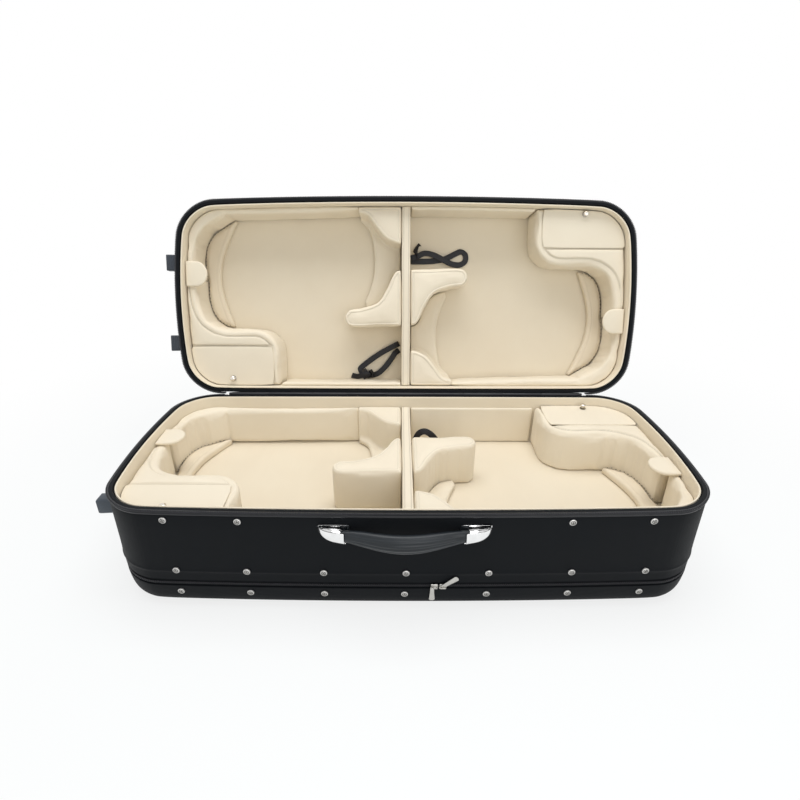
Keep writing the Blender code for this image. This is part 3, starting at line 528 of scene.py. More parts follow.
def edge_runs(piece, height):
    """Directed edges round the flat top of a piece, with the top on their left."""
    mesh = piece.data
    runs, sides = [], {}
    for face in mesh.polygons:
        flat = face.normal.z > 0.99 and abs(face.center.z - height) < 0.0002
        for start, end in zip(face.vertices, list(face.vertices[1:]) + [face.vertices[0]]):
            sides.setdefault(tuple(sorted((start, end))), []).append((flat, start, end))
    for users in sides.values():
        tops = [user for user in users if user[0]]
        if len(tops) == 1:
            runs.append([mesh.vertices[i].co[:2] for i in tops[0][1:]])
    return np.array(runs)


def reach(points, runs):
    """Distance in plan from each point to the runs, positive on their left."""
    best = np.full(len(points), 1.0)
    side = np.ones(len(points))
    for start, end in runs:
        along = end - start
        offset = points[:, :2] - start
        share = np.clip(offset @ along / (along @ along), 0.0, 1.0)
        gap = np.linalg.norm(offset - share[:, None] * along, axis=1)
        turn = along[0] * offset[:, 1] - along[1] * offset[:, 0]
        nearer = gap < best - 1e-7
        best[nearer] = gap[nearer]
        side[nearer] = np.sign(turn[nearer])
    return best * side


def crease_noise(points, scale, seed):
    """Smooth noise at each point, about -1 to 1, with so many cells to the metre."""
    shift = Vector((seed * 7.3, seed * 3.1, seed * 5.7))
    return np.array([noise.noise(Vector(point) * scale + shift) for point in points])


def puff(piece, pressure, limit):
    """Lets cloth swell over the piece under pressure, and keeps each point within the limit."""
    before = points_of(piece)
    only(piece)
    cloth = piece.modifiers.new("Cloth", "CLOTH")
    cloth.settings.effector_weights.gravity = 0.0
    cloth.settings.use_pressure = True
    cloth.settings.uniform_pressure_force = pressure
    cloth.settings.tension_stiffness = CLOTH_STIFFNESS
    cloth.settings.compression_stiffness = CLOTH_STIFFNESS
    cloth.settings.quality = 4
    scene = bpy.context.scene
    for step in range(1, CLOTH_FRAMES + 1):
        scene.frame_set(step)
    bpy.ops.object.modifier_apply(modifier=cloth.name)
    scene.frame_set(1)
    moved = points_of(piece) - before
    size = np.linalg.norm(moved, axis=1, keepdims=True)
    set_points(piece, before + moved * np.minimum(1.0, limit / np.maximum(size, 1e-9)))


def mark(piece, name, values=0.0):
    """Gives each point of a piece the value that its finish reads by that name."""
    attribute = piece.data.attributes.new(name, "FLOAT", "POINT")
    attribute.data.foreach_set("value", np.zeros(len(attribute.data)) + values)


def upholster(pair, suffix, grid, shrink, pressure, limit):
    """Padded copy of a foam block: remeshed, drawn in, puffed by cloth and subdivided once."""
    node = f"{pair[0]}_{suffix}"
    piece = loose_copy(node, node + "_pad", BAYS[pair[0]])
    tops = edge_runs(piece, points_of(piece)[:, 2].max())
    low = points_of(piece)[:, 2].min()
    remesh(piece, grid, smoothing=3)
    points = points_of(piece) - normals_of(piece) * shrink
    points[:, 2] = np.maximum(points[:, 2], low)
    set_points(piece, points)
    puff(piece, pressure, limit)
    subdivide(piece)
    points = points_of(piece)
    points[:, 2] = np.maximum(points[:, 2], low)
    set_points(piece, points)
    return piece, tops


def settle(piece, points, seam=None):
    """Gives a soft piece its last shape, and marks its seams and their painted shade where its finish reads them.
    """
    if seam is not None:
        mark(piece, "seam", seam)
    set_points(piece, points)
    only(piece)
    bpy.ops.object.shade_smooth()


def place_pads(piece, pair, suffix):
    """Sets a shaped pad into its bay, and a copy into the bay's twin."""
    twin = piece.copy()
    twin.data = piece.data.copy()
    twin.name = f"{pair[1]}_{suffix}_pad"
    link(twin)
    for item, bay in ((piece, pair[0]), (twin, pair[1])):
        dress(item, f"{bay}_{suffix}", bench=BAYS[bay])


# Lines round the rim


def rim_line(inset, steps):
    """Plan of the case at an inset from its rim, counter-clockwise."""
    half_x, half_y = HALF_LENGTH - inset, HALF_DEPTH - inset
    radius = CORNER_RADIUS - inset
    side_x, side_y = half_x - radius, half_y - radius
    places = []
    for quarter in range(4):
        turn = (quarter - 1) * math.pi / 2
        across, out = (side_x, half_y) if quarter % 2 == 0 else (side_y, half_x)
        for i in range(steps):
            s = (2 * i / steps - 1) * across
            places.append((
                out * math.cos(turn) - s * math.sin(turn), out * math.sin(turn) + s * math.cos(turn)
            ))
        sign_x, sign_y = ((1, -1), (1, 1), (-1, 1), (-1, -1))[quarter]
        for i in range(steps // 2):
            a = turn + i / (steps // 2) * math.pi / 2
            places.append((sign_x * side_x + radius * math.cos(a), sign_y * side_y + radius * math.sin(a)))
    crowned = []
    for x, y in places:
        near = 0.0 if y > 0 else -FRONT_CROWN * (1 - (x / half_x) ** 2)
        end = math.copysign(END_CROWN, x) * (1 - (y / half_y) ** 2)
        crowned.append((x + end, y + FRONT_CROWN / 2 + near))
    return crowned


def paced(line, pitch, start=0.0):
    """Places and headings at even steps along a line in plan."""
    points = np.array(line)
    steps = np.diff(points, axis=0)
    lengths = np.linalg.norm(steps, axis=1)
    ends = np.concatenate(([0.0], np.cumsum(lengths)))
    places = []
    for distance in np.arange(start * pitch, ends[-1], pitch):
        i = min(int(np.searchsorted(ends, distance, side="right")) - 1, len(steps) - 1)
        spot = points[i] + steps[i] * (distance - ends[i]) / lengths[i]
        places.append((spot, math.atan2(steps[i][1], steps[i][0])))
    return places


def near_wall(spots, gap):
    """Whether places in plan lie close to the lining's wall."""
    wall = np.array(rim_line(WALL_INSET, 6))
    runs = np.stack([wall, np.roll(wall, -1, axis=0)], axis=1)
    return np.abs(reach(np.c_[spots, np.zeros(len(spots))], runs)) < gap


# Foam inserts


def s_foam(pair):
    """Foam with a rolled edge along the bay and a flat panel behind the roll's seam."""
    piece, tops = upholster(pair, "s_foam", grid=0.0030, shrink=0.0008, pressure=2.0, limit=0.0022)
    middle = tops.mean(axis=1)
    turn = np.abs(tops[:, 1] - tops[:, 0])
    ledge = (middle[:, 0] < FLAP_EDGE_X + 0.001) & (middle[:, 1] < CREASE_Y + 0.001)
    notch = (turn[:, 1] < 0.0003) & (middle[:, 1] > 0.0)
    bend = ~near_wall(middle, 0.012) & ~ledge & ~notch
    points, normals = points_of(piece), normals_of(piece)
    gap = reach(points, tops[bend])
    upper = step_between(points[:, 2], FOAM_TOP - 0.006, FOAM_TOP - 0.001)
    # The first pair's foam has the flatter roll and seam
    relief = 0.4 if pair is PAIRS[0] else 1.0
    roll = rounded(gap, 0.0015, 0.0060) * 0.0023 * relief
    seam = groove(gap, 0.0080, 0.0008) * relief
    # A narrow groove beside the crease leaves the raised flap room
    past_edge = step_between(points[:, 0], FLAP_EDGE_X + 0.0005, FLAP_EDGE_X + 0.0020)
    past_crease = step_between(points[:, 1], CREASE_Y + 0.0026, CREASE_Y + 0.0038)
    clear_tab = 1 - step_between(points[:, 1], TAB_Y - 0.031, TAB_Y - 0.0268)
    panel = step_between(gap, 0.0084, 0.0100) * np.maximum(past_edge, past_crease)
    lift = (roll + (PANEL_TOP - FOAM_TOP) * panel) * clear_tab - 0.0008 * seam
    points[:, 2] += lift * upper
    side = 1 - step_between(np.abs(normals[:, 2]), 0.3, 0.7)
    folds = crease_noise(points * (1.0, 1.0, 0.20), scale=60.0, seed=1.0) * (0.0004 + 0.0009 * side)
    soft = crease_noise(points, scale=20.0, seed=2.0) * 0.0008
    points -= normals * np.clip(folds + soft, -0.0003, 0.0018)[:, None] * (1 - panel * 0.8)[:, None]
    # The seam mark darkens the groove: the seam's own line and painted shade in it
    settle(piece, points, seam=seam * upper)
    place_pads(piece, pair, "s_foam")


def bolster(pair):
    """Cushion round the far end, with gathers where it turns."""
    piece, _ = upholster(pair, "end_foam", grid=0.0034, shrink=0.0010, pressure=3.0, limit=0.0026)
    points, normals = points_of(piece), normals_of(piece)
    turn = step_between(-points[:, 0], 0.30, 0.35) * 0.85 + 0.15
    folds = crease_noise(points * (1.0, 1.0, 0.16), scale=42.0, seed=3.0)
    soft = crease_noise(points, scale=18.0, seed=4.0)
    points -= normals * (np.clip(folds * 0.0022 * turn + soft * 0.0010, -0.0004, 0.0028))[:, None]
    end = points[:, 0].max()
    points[:, 0] += 0.0035 * step_between(points[:, 0], end - 0.007, end - 0.001)
    settle(piece, points, seam=0.0)
    place_pads(piece, pair, "end_foam")


def edged_block(pair, suffix, grid, seed):
    """Firm block whose cover has a seam just inside its upper edge."""
    piece, tops = upholster(pair, suffix, grid, shrink=0.0006, pressure=2.0, limit=0.0018)
    inset = 0.0035
    points, normals = points_of(piece), normals_of(piece)
    gap = reach(points, tops)
    upper = step_between(points[:, 2], FOAM_TOP - 0.005, FOAM_TOP - 0.001)
    away = step_between(-points[:, 0], 0.011, 0.015)
    seam = groove(gap, inset, 0.0008) * away
    roll = rounded(gap, inset * 0.4, inset * 0.8) * away
    crown = step_between(gap, inset, inset + 0.020)
    points[:, 2] += (roll * 0.0010 - seam * 0.0008 + crown * 0.0009) * upper
    soft = crease_noise(points * (1.0, 1.0, 0.5), scale=26.0, seed=seed) * 0.0009
    fine = crease_noise(points * (1.0, 1.0, 0.4), scale=80.0, seed=seed + 0.5) * 0.0002
    points -= normals * np.clip(soft + fine, -0.0002, 0.0014)[:, None]
    # The seam mark darkens the groove: the seam's own line and painted shade in it
    settle(piece, points, seam=seam * upper * 0.4)
    place_pads(piece, pair, suffix)


def crescent(pair):
    """Low plush pad with a rolled inner edge, sewn down along the foot of the bolster."""
    piece, tops = upholster(pair, "crescent", grid=0.0026, shrink=0.0006, pressure=3.0, limit=0.0018)
    points = points_of(piece)
    inner = tops[tops[:, 1, 1] > tops[:, 0, 1]]
    outer = tops[tops[:, 1, 1] < tops[:, 0, 1]]
    gap, back = reach(points, inner), reach(points, outer)
    upper = step_between(points[:, 2], FLOOR + 0.004, FLOOR + 0.012)
    roll = rounded(gap, 0.0020, 0.0045)
    seam = groove(gap, 0.0070, 0.0009)
    tuck = groove(back, 0.0, 0.0040) * (0.55 + 0.45 * crease_noise(points, scale=90.0, seed=9.0))
    points[:, 2] += (roll * 0.0008 - seam * 0.0004 - tuck * 0.0030) * upper
    soft = crease_noise(points, scale=30.0, seed=5.0) * 0.0007
    points[:, 2] -= np.clip(soft, -0.0001, 0.0010) * upper
    # The tuck's share of the mark is painted shade in the crease along the bolster's foot
    settle(piece, points, seam=(seam * 0.15 + tuck * 0.30) * upper)
    place_pads(piece, pair, "crescent")
    sewn_row(pair, outer)


def sewn_row(pair, outer):
    """Dark loops of thread along the crescent's outer edge, each a little different."""
    line = outer[np.argsort(outer.mean(axis=1)[:, 1])].mean(axis=1)
    bead = primitive("uv_sphere", "bead", segments=8, ring_count=5, radius=0.00075)
    places = []
    for i, (spot, heading) in enumerate(paced(line, STITCH_PITCH)):
        long = 1.1 + 0.9 * abs(math.sin(i * 2.7))
        level = FLOOR + 0.0128 + 0.0004 * math.sin(i * 1.9)
        turn = Matrix.Rotation(heading + 0.5 * math.sin(i * 4.1), 4, "Z")
        shape = Matrix.Diagonal((long, 0.9, 0.7, 1.0))
        places.append(Matrix.Translation((spot[0] - 0.0006, spot[1], level)) @ turn @ shape)
    for bay in pair:
        row = laid_out(bead, places, f"{bay}_stitches")
        trim(row, BODY_OF[f"{bay}_crescent"], THREAD, BAYS[bay])
    bpy.data.objects.remove(bead)


def wall_pad(bay, crowned):
    """Thin cushion on the wall between the divider and the foam."""
    piece = primitive("cube", f"{bay}_wall_pad", size=1.0)
    low = np.array((-0.2505, 0.0, FLOOR + 0.0010))
    high = np.array((-0.0100, 0.0065, FOAM_TOP - 0.0008))
    set_points(piece, (low + high) / 2 + points_of(piece) * (high - low))
    remesh(piece, grid=0.0026, smoothing=3)
    subdivide(piece)
    points = points_of(piece)
    inner = step_between(points[:, 1], 0.0020, 0.0050)
    folds = crease_noise(points * (1.0, 1.0, 0.12), scale=45.0, seed=15.0) * 0.0012
    points[:, 1] += folds * inner
    wall_y = 0.0002 - (HALF_DEPTH - WALL_INSET + FRONT_CROWN / 2)
    crown = FRONT_CROWN * (points[:, 0] / (HALF_LENGTH - WALL_INSET)) ** 2 if crowned else 0.0
    points[:, 1] += wall_y + crown
    settle(piece, points, seam=0.0)
    trim(piece, BODY_OF[f"{bay}_s_foam"], FINISH["cream_foam"], BAYS[bay])


def flap(bay):
    """Cloth-covered board over the accessory box, with its turned knob."""
    bench = BAYS[bay]
    board = loose_copy(f"{bay}_box_flap", f"{bay}_flap_board", bench)
    smooth_round(board, crease=0.75)
    mark(board, "seam")
    dress(board, f"{bay}_box_flap", bench=bench)
    knob = loose_copy(f"{bay}_flap_knob", f"{bay}_knob_turned", bench)
    smooth_round(knob, sharp=60.0)
    points = points_of(knob)
    middle = (points.min(axis=0) + points.max(axis=0)) / 2
    points[:, :2] = middle[:2] + (points[:, :2] - middle[:2]) * 1.25
    set_points(knob, points)
    # Painted shade: the knob darkens towards its foot, over its lower half
    mark(knob, "grime", 0.9 * (1 - step_between(points[:, 2], points[:, 2].min(), middle[2])))
    dress(knob, f"{bay}_flap_knob", bench=bench)


def tab(bay):
    """Soft tongue over the end notch."""
    bench = BAYS[bay]
    piece = loose_copy(f"{bay}_end_tab", f"{bay}_tongue", bench)
    remesh(piece, grid=0.0014, smoothing=2)
    points = points_of(piece)
    middle = (points[:, :2].min(axis=0) + points[:, :2].max(axis=0)) / 2
    tip = middle[0] + 0.0210
    # The solid's end is a straight edge with two round corners, and the tongue's is one curve
    corner, straight, half_width = 0.0180, 0.0065, 0.0245
    along = np.clip((points[:, 0] - tip + half_width) / half_width, 0.0, 0.985)
    old = straight + np.sqrt(corner**2 - np.clip(points[:, 0] - tip + corner, 0.0, 0.0178) ** 2)
    new = half_width * (1 - along**2.3) ** 0.5
    points[:, 1] = middle[1] + (points[:, 1] - middle[1]) * np.clip(new / old, 0.3, 1.0)
    from_middle = np.linalg.norm((points[:, :2] - middle) / (0.022, 0.026), axis=1)
    upper = step_between(points[:, 2], -0.0180, -0.0155)
    points[:, 2] += 0.0011 * np.clip(1 - from_middle**2, 0.0, 1.0) * upper
    settle(piece, points, seam=0.0)
    dress(piece, f"{bay}_end_tab", bench=bench)


def divider(node, bench):
    """Covered board between the bays, with two rows of sewing along its top."""
    piece = loose_copy(node, node + "_cover", bench)
    row, half, spacing = 0.0052, 0.0008, 0.010
    for x in (-row - half, -row, -row + half, row - half, row, row + half):
        edit(piece, ("bisect", {"plane_co": (x, 0.0, 0.0), "plane_no": (1.0, 0.0, 0.0)}))
    for i in range(-17, 18):
        edit(piece, ("bisect", {"plane_co": (0.0, i * spacing, 0.0), "plane_no": (0.0, 1.0, 0.0)}))
    points = points_of(piece)
    sewn = (np.abs(np.abs(points[:, 0]) - row) < 0.0002) & (points[:, 2] > FOAM_TOP - 0.002)
    points[sewn, 2] -= 0.0006
    points[:, 0] += crease_noise(points * (0.0, 1.0, 1.0), scale=25.0, seed=12.0) * 0.0003
    set_points(piece, points)
    # The sewing rows are darkened: their own line and painted shade in their grooves
    mark(piece, "seam", sewn * 0.9)
    subdivide(piece)
    shade(piece, 40.0)
    dress(piece, node, bench=bench)


# Ribbons


def band(name, route, width=RIBBON_WIDTH):
    """Flat strip along a route on the bench; each place has the direction across it."""
    places = np.array([place for place, _ in route], float)
    aside = np.array([across for _, across in route], float)
    aside /= np.linalg.norm(aside, axis=1, keepdims=True)
    piece = primitive("grid", name, x_subdivisions=6 * (len(route) - 1), y_subdivisions=3, size=1.0)
    points = points_of(piece)
    along = (points[:, 0] + 0.5) * (len(route) - 1)
    centre, across = smooth_run(places, along), smooth_run(aside, along)
    set_points(piece, centre + across * (points[:, 1] * width)[:, None])
    modify(piece, "SOLIDIFY", thickness=RIBBON_THICKNESS, offset=0.0)
    subdivide(piece)
    shade(piece, 50.0)
    return piece


def ribbon(bay, route, knots=()):
    """A bay's neck ribbon, with the knots and tails that are tied in it."""
    piece = band(f"{bay}_neck_ribbon", route)
    dress(piece, f"{bay}_neck_tie", bench=BAYS[bay])
    for knot in knots:
        trim(knot, BODY_OF[f"{bay}_neck_tie"], FINISH["black_ribbon"], BAYS[bay])


def smooth_run(values, along):
    """Values read along their run on a rounded curve through them."""
    ends = np.vstack((values[:1], values, values[-1:]))
    i = np.clip(along.astype(int), 0, len(values) - 2)
    t = (along - i)[:, None]
    p, q, r, s = ends[i], ends[i + 1], ends[i + 2], ends[i + 3]
    return q + ((r - p) * t + (2 * p - 5 * q + 4 * r - s) * t**2 + (3 * q - p - 3 * r + s) * t**3) / 2


def flat_route(spots, lifts):
    """Route of a ribbon that lies on the floor, lifted where it crosses something."""
    route = []
    for i, (x, y) in enumerate(spots):
        before, after = spots[max(i - 1, 0)], spots[min(i + 1, len(spots) - 1)]
        across = (before[1] - after[1], after[0] - before[0], 0.0)
        route.append(((x, y, RIBBON_LEVEL + lifts.get(i, 0.0)), across))
    return route


def lid_left_knots():
    """Turn round the loop, two strips that cross over it, and a free tail."""
    x, y, level = -0.0790, -0.1570, -0.0880
    radius, rise = 0.0085, 0.0045
    wrap = []
    for a in np.linspace(0.0, 2 * math.pi, 9):
        c, s = math.cos(a), math.sin(a)
        place = (x + radius * c, y + radius * s, level + rise * math.sin(a + 0.5))
        wrap.append((place, (0.5 * s, -0.5 * c, 1.0)))
    over = [
        ((-0.0900, -0.1470, -0.0910), (1.0, 0.5, 0.0)), ((-0.0850, -0.1530, -0.0830), (1.0, 0.5, 0.2)),
        ((-0.0790, -0.1590, -0.0820), (1.0, 0.4, 0.2)), ((-0.0740, -0.1640, -0.0920), (1.0, 0.4, 0.0)),
    ]
    cross = [
        ((-0.0690, -0.1510, -0.0910), (-0.6, 1.0, 0.0)), ((-0.0760, -0.1560, -0.0840), (-0.6, 1.0, 0.2)),
        ((-0.0840, -0.1600, -0.0850), (-0.5, 1.0, 0.2)), ((-0.0910, -0.1640, -0.0910), (-0.5, 1.0, 0.0)),
    ]
    tail = [
        ((-0.0800, -0.1580, -0.0850), (0.0, 1.0, 0.3)), ((-0.0920, -0.1600, -0.0850), (-0.3, 1.0, 0.2)),
        ((-0.1030, -0.1620, -0.0890), (0.0, 1.0, 0.3)), ((-0.1150, -0.1600, -0.0930), (0.4, 1.0, 0.0)),
    ]
    return [
        band("lid_left_ribbon_wrap", wrap, width=0.0110), band("lid_left_ribbon_over", over),
        band("lid_left_ribbon_cross", cross), band("lid_left_ribbon_tail", tail),
    ]


def ribbons():
    """The four neck ribbons, each as it lies in its bay."""
    spots = [
        (-0.0130, -0.0920), (-0.0230, -0.0965), (-0.0546, -0.1140), (-0.0843, -0.1350), (-0.0965, -0.1470),
        (-0.0900, -0.1570), (-0.0740, -0.1600), (-0.0590, -0.1560), (-0.0450, -0.1440), (-0.0300, -0.1250),
        (-0.0216, -0.1120), (-0.0130, -0.1060),
    ]
    lifts = {1: 0.004, 2: 0.002, 5: 0.001, 7: 0.0035, 8: 0.005, 9: 0.005, 10: 0.006}
    ribbon("lid_left", flat_route(spots, lifts), lid_left_knots())
    spots = [
        (-0.0105, -0.0790), (-0.0300, -0.0790), (-0.0550, -0.0800), (-0.0807, -0.0840), (-0.1020, -0.0940),
        (-0.1150, -0.0990), (-0.1245, -0.0930), (-0.1245, -0.0800), (-0.1130, -0.0725), (-0.0960, -0.0740),
        (-0.0768, -0.0830), (-0.0575, -0.0920), (-0.0390, -0.0950), (-0.0250, -0.0890), (-0.0105, -0.0850),
    ]
    lifts = {3: 0.001, 9: 0.003, 10: 0.005, 11: 0.0055, 12: 0.006, 13: 0.006, 14: 0.006}
    frayed = [
        ((-0.0250, -0.0850, -0.0880), (0.0, 1.0, 0.4)), ((-0.0200, -0.0960, -0.0850), (-1.0, 0.3, 0.4)),
        ((-0.0230, -0.1070, -0.0870), (-1.0, -0.2, 0.5)), ((-0.0300, -0.1130, -0.0910), (-0.6, 0.8, 0.3)),
    ]
    knots = [band("lid_right_ribbon_tail", frayed, width=0.0100)]
    ribbon("lid_right", flat_route(spots, lifts), knots)
    arch = [
        ((-0.0130, -0.0980, -0.0800), (0.9, 0.3, 0.0)), ((-0.0165, -0.0985, -0.0560), (0.9, 0.1, 0.1)),
        ((-0.0230, -0.0990, -0.0400), (0.6, -0.3, 0.7)), ((-0.0340, -0.0990, -0.0345), (0.0, -0.4, 0.9)),
        ((-0.0455, -0.0980, -0.0400), (-0.6, -0.3, 0.7)), ((-0.0570, -0.0960, -0.0540), (-0.9, -0.1, 0.3)),
        ((-0.0660, -0.0930, -0.0800), (-0.9, -0.5, 0.1)), ((-0.0630, -0.0900, -0.0935), (-0.4, -1.0, -0.1)),
        ((-0.0400, -0.0880, -0.0940), (0.0, -1.0, -0.1)), ((-0.0105, -0.0870, -0.0930), (0.0, -1.0, 0.0)),
    ]
    ribbon("base_right", arch)
    spots = [
        (-0.0105, -0.0850), (-0.0320, -0.0915), (-0.0600, -0.1040), (-0.0800, -0.1220), (-0.0840, -0.1420),
        (-0.0700, -0.1500), (-0.0540, -0.1400), (-0.0380, -0.1210), (-0.0230, -0.1070), (-0.0105, -0.1010),
    ]
    lifts = {2: 0.006, 3: 0.012, 4: 0.010, 6: 0.004}
    ribbon("base_left", flat_route(spots, lifts))


# Cloth and hardware outside


def shells():
    """Cloth of the shells and the pocket, the linings, the rim's zip and the hinge's leaves."""
    large = ("base_shell", "lid_shell", "bottom_pocket", "base_lining", "lid_lining")
    for node in (*large, "base_rim_zip", "lid_rim_zip", "hinge_leaf_base", "hinge_leaf_lid"):
        piece = loose_copy(node, node + "_cover")
        smooth_round(piece, levels=2 if node in large else 1)
        if "lining" in node:
            mark(piece, "seam")
        dress(piece, node)


def zip_teeth():
    """Rows of teeth: one on each rim, and two that mesh in the pocket's zip."""

    def off_hinge(x, y):
        return y < 0.150 or abs(x) > HINGE_HALF

    def off_back(x, y):
        return y < 0.170

    tooth = primitive("cube", "tooth", size=1.0)
    set_points(tooth, points_of(tooth) * TOOTH_SIZE)
    modify(tooth, "BEVEL", width=0.00035, segments=1)
    shade(tooth, 60.0)
    rim_inset, pocket_inset = 0.0002, 0.0024
    # Each row: body, frame, inset, level, share of a pitch that it starts at, and where it runs
    rows = (
        ("base_zip_teeth", "base", BASE, rim_inset, -0.0015, 0.0, off_hinge),
        ("lid_zip_teeth", "lid", LID, rim_inset, 0.0015, 0.5, off_hinge),
        ("pocket_zip_teeth_upper", "base", BASE, pocket_inset, -ZIP_DEPTH + 0.0008, 0.0, off_back),
        ("pocket_zip_teeth_lower", "pocket", BASE, pocket_inset, -ZIP_DEPTH - 0.0013, 0.5, off_back),
    )
    for name, body, shell, inset, level, start, keep in rows:
        line = rim_line(inset, 40)
        line.append(line[0])
        places = []
        for (x, y), heading in paced(line, TOOTH_PITCH, start):
            if keep(x, y):
                places.append(Matrix.Translation((x, y, level)) @ Matrix.Rotation(heading, 4, "Z"))
        trim(laid_out(tooth, places, name), body, TEETH, shell)
    bpy.data.objects.remove(tooth)


def screw_shape():
    """Cup washer with a domed head in it, with painted shade in its cross slot and cup."""
    seat = (0.0, 0.0, 0.0002)
    size = {"radius": SCREW_RADIUS, "depth": SCREW_DEPTH}
    screw = primitive("cylinder", "screw", vertices=28, location=seat, **size)
    bpy.ops.object.transform_apply(location=True, rotation=False, scale=False)
    # The washer's rim and slope, the gap round the head, then the head
    sink(
        screw, lambda centre, normal: normal.z > 0.9,
        (0.0004, 0.0004), (0.0008, 0.0003), (0.0003, -0.0001), (0.0002, -0.0010), (0.0006, 0.0000),
        (0.0002, 0.0009), (0.0007, 0.0003), (0.0008, 0.0001),
    )
    slot_middle, slot_size = (0.0, 0.0, 0.0021), (0.0046, 0.0013, 0.0028)
    for turn in (0.0, math.pi / 2):
        slot = primitive("cube", "screw_slot", size=1.0)
        place = Matrix.Translation(slot_middle) @ Matrix.Rotation(turn, 4, "Z")
        slot.data.transform(place @ Matrix.Diagonal((*slot_size, 1.0)))
        modify(screw, "BOOLEAN", operation="DIFFERENCE", solver="EXACT", object=slot)
        bpy.data.objects.remove(slot)
    shade(screw, 35.0)
    points = points_of(screw)
    out = np.hypot(points[:, 0], points[:, 1])
    slots = (out < 0.0022) & (points[:, 2] < 0.0012)
    # Painted shade in the cross slots and in the cup round the head
    mark(screw, "grime", ((out > 0.0024) & (out < 0.0035) & (points[:, 2] < 0.0014)) | slots)
    return screw


def screws():
    """Rows of screws along the front, each at its depth below the rim."""
    screw = screw_shape()
    rows = (
        ("base_shell", 0.0172, (-0.3380, -0.2348, 0.2251, 0.3379)),
        ("base_shell", 0.1058, (-0.3344, -0.2320, -0.1212, -0.0030, 0.1158, 0.2355, 0.3434)),
        ("bottom_pocket", 0.1480, (-0.3351, -0.2317, -0.1226, -0.0049, 0.1156, 0.2358, 0.3432)),
    )
    in_front, inward = -0.4, Vector((0.0, 1.0, 0.0))
    for number, (node, depth, places) in enumerate(rows):
        mesh = NODES[node].data
        wall = BVHTree.FromPolygons([v.co for v in mesh.vertices], [p.vertices for p in mesh.polygons])
        frames = []
        for i, x in enumerate(places):
            spot, normal, _, _ = wall.ray_cast(Vector((x, in_front, HINGE.z - depth)), inward)
            turn = normal.to_track_quat("Z", "Y").to_matrix().to_4x4()
            frames.append(Matrix.Translation(spot) @ turn @ Matrix.Rotation(0.4 + i * 1.3 + number, 4, "Z"))
        trim(laid_out(screw, frames, f"front_screws_{number + 1}"), BODY_OF[node], SCREW)
    bpy.data.objects.remove(screw)


def handle():
    """Chrome horns and the folded leathercloth grip between them."""
    for side in ("left", "right"):
        cap = loose_copy(f"handle_cap_{side}", f"handle_horn_{side}")
        smooth_round(cap, levels=3, sharp=60.0, crease=0.95)
        dress(cap, f"handle_cap_{side}")
    grip = loose_copy("handle_grip", "handle_cover")
    smooth_round(grip, levels=3, sharp=70.0)
    points, normals = points_of(grip), normals_of(grip)
    low, high = points[:, 0].min(), points[:, 0].max()
    share = (points[:, 0] - low) / (high - low)
    # The folds run along the grip at angles round its middle, which is found slice by slice
    slices = 60
    cells = np.clip((share * slices).astype(int), 0, slices - 1)
    middle = np.zeros((slices, 2))
    for i in np.unique(cells):
        middle[i] = points[cells == i][:, 1:].mean(axis=0)
    arm = points[:, 1:] - middle[cells]
    turn = np.degrees(np.arctan2(arm[:, 1], arm[:, 0])) % 360.0
    inside = step_between(share, 0.05, 0.16) * (1 - step_between(share, 0.84, 0.95))
    wander = 5.0 * np.sin(share * 9.0)
    folds = ((118.0, 0.0007, 7.0), (150.0, 0.0009, 7.0), (186.0, 0.0008, 8.0), (222.0, 0.0006, 8.0))
    for angle, depth, width in folds:
        fold = groove(turn - angle, wander, width)
        points -= normals * (fold * depth * inside)[:, None]
    settle(grip, points)
    dress(grip, "handle_grip")


def pocket_hardware():
    """Sliders and pulls of the pocket's zip, and the sliders of the rim's zip."""
    for side in ("left", "right"):
        for node in (f"pocket_slider_{side}", f"rim_slider_{side}"):
            piece = loose_copy(node, node + "_cast")
            eased(piece, width=0.0004)
            dress(piece, node)
        pull = loose_copy(f"pocket_pull_{side}", f"pocket_pull_{side}_stamped")
        points = points_of(pull)
        middle = points.mean(axis=0)
        # The pull's own axis, away from its slider: the pull widens towards its free end
        heading = np.linalg.svd((points - middle)[:, (0, 2)], full_matrices=False)[2][0]
        along = np.array((heading[0], 0.0, heading[1]))
        along *= np.sign((middle - np.mean(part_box(f"pocket_slider_{side}"), axis=0)) @ along)
        across = np.array((along[2], 0.0, -along[0]))
        out, away = (points - middle) @ across, (points - middle) @ along
        length, flare = 0.009, 0.12
        wider = out * flare * step_between(away, 0.0, length)
        set_points(pull, points + across * wider[:, None])
        eased(pull, width=0.00018)
        dress(pull, f"pocket_pull_{side}")


def hinge_pin():
    """Pin with domed ends that shows between the knuckles."""
    pin = primitive("cylinder", "hinge_pin", vertices=20, radius=PIN_RADIUS, depth=PIN_LENGTH)
    set_points(pin, points_of(pin)[:, (2, 1, 0)] * (1.0, 1.0, -1.0) + tuple(HINGE))
    sink(pin, lambda centre, normal: abs(normal.x) > 0.9, (0.0009, 0.0006), (0.0008, 0.0002))
    eased(pin, width=0.0002)
    trim(pin, "base", FINISH["hinge_steel"])


def pocket_tape():
    """Cloth hinge along the back, where the pocket swings from the base."""
    piece = primitive("grid", "pocket_hinge_tape", x_subdivisions=60, y_subdivisions=10, size=1.0)
    points = points_of(piece)[:, (0, 2, 1)] * (TAPE_LENGTH, 1.0, TAPE_HEIGHT)
    set_points(piece, points + np.array(POCKET_HINGE) + (0.0, 0.0001, 0.0))
    modify(piece, "SOLIDIFY", thickness=TAPE_THICKNESS, offset=0.0)
    shade(piece, 50.0)
    coat(piece, FINISH["zip_tape"])
    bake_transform(piece)


def feet():
    """Moulded feet on the left end, each with a sunk face; the lid's are ribbed."""
    for node in ("base_foot_front", "base_foot_back", "lid_foot_lower", "lid_foot_upper"):
        piece = loose_copy(node, node + "_moulding")
        sink(piece, lambda centre, normal: normal.x < -0.9, (0.0030, 0.0), (0.0010, -0.0006))
        eased(piece, width=0.0012)
        dress(piece, node, RIBBED if node.startswith("lid") else None)


# Stage


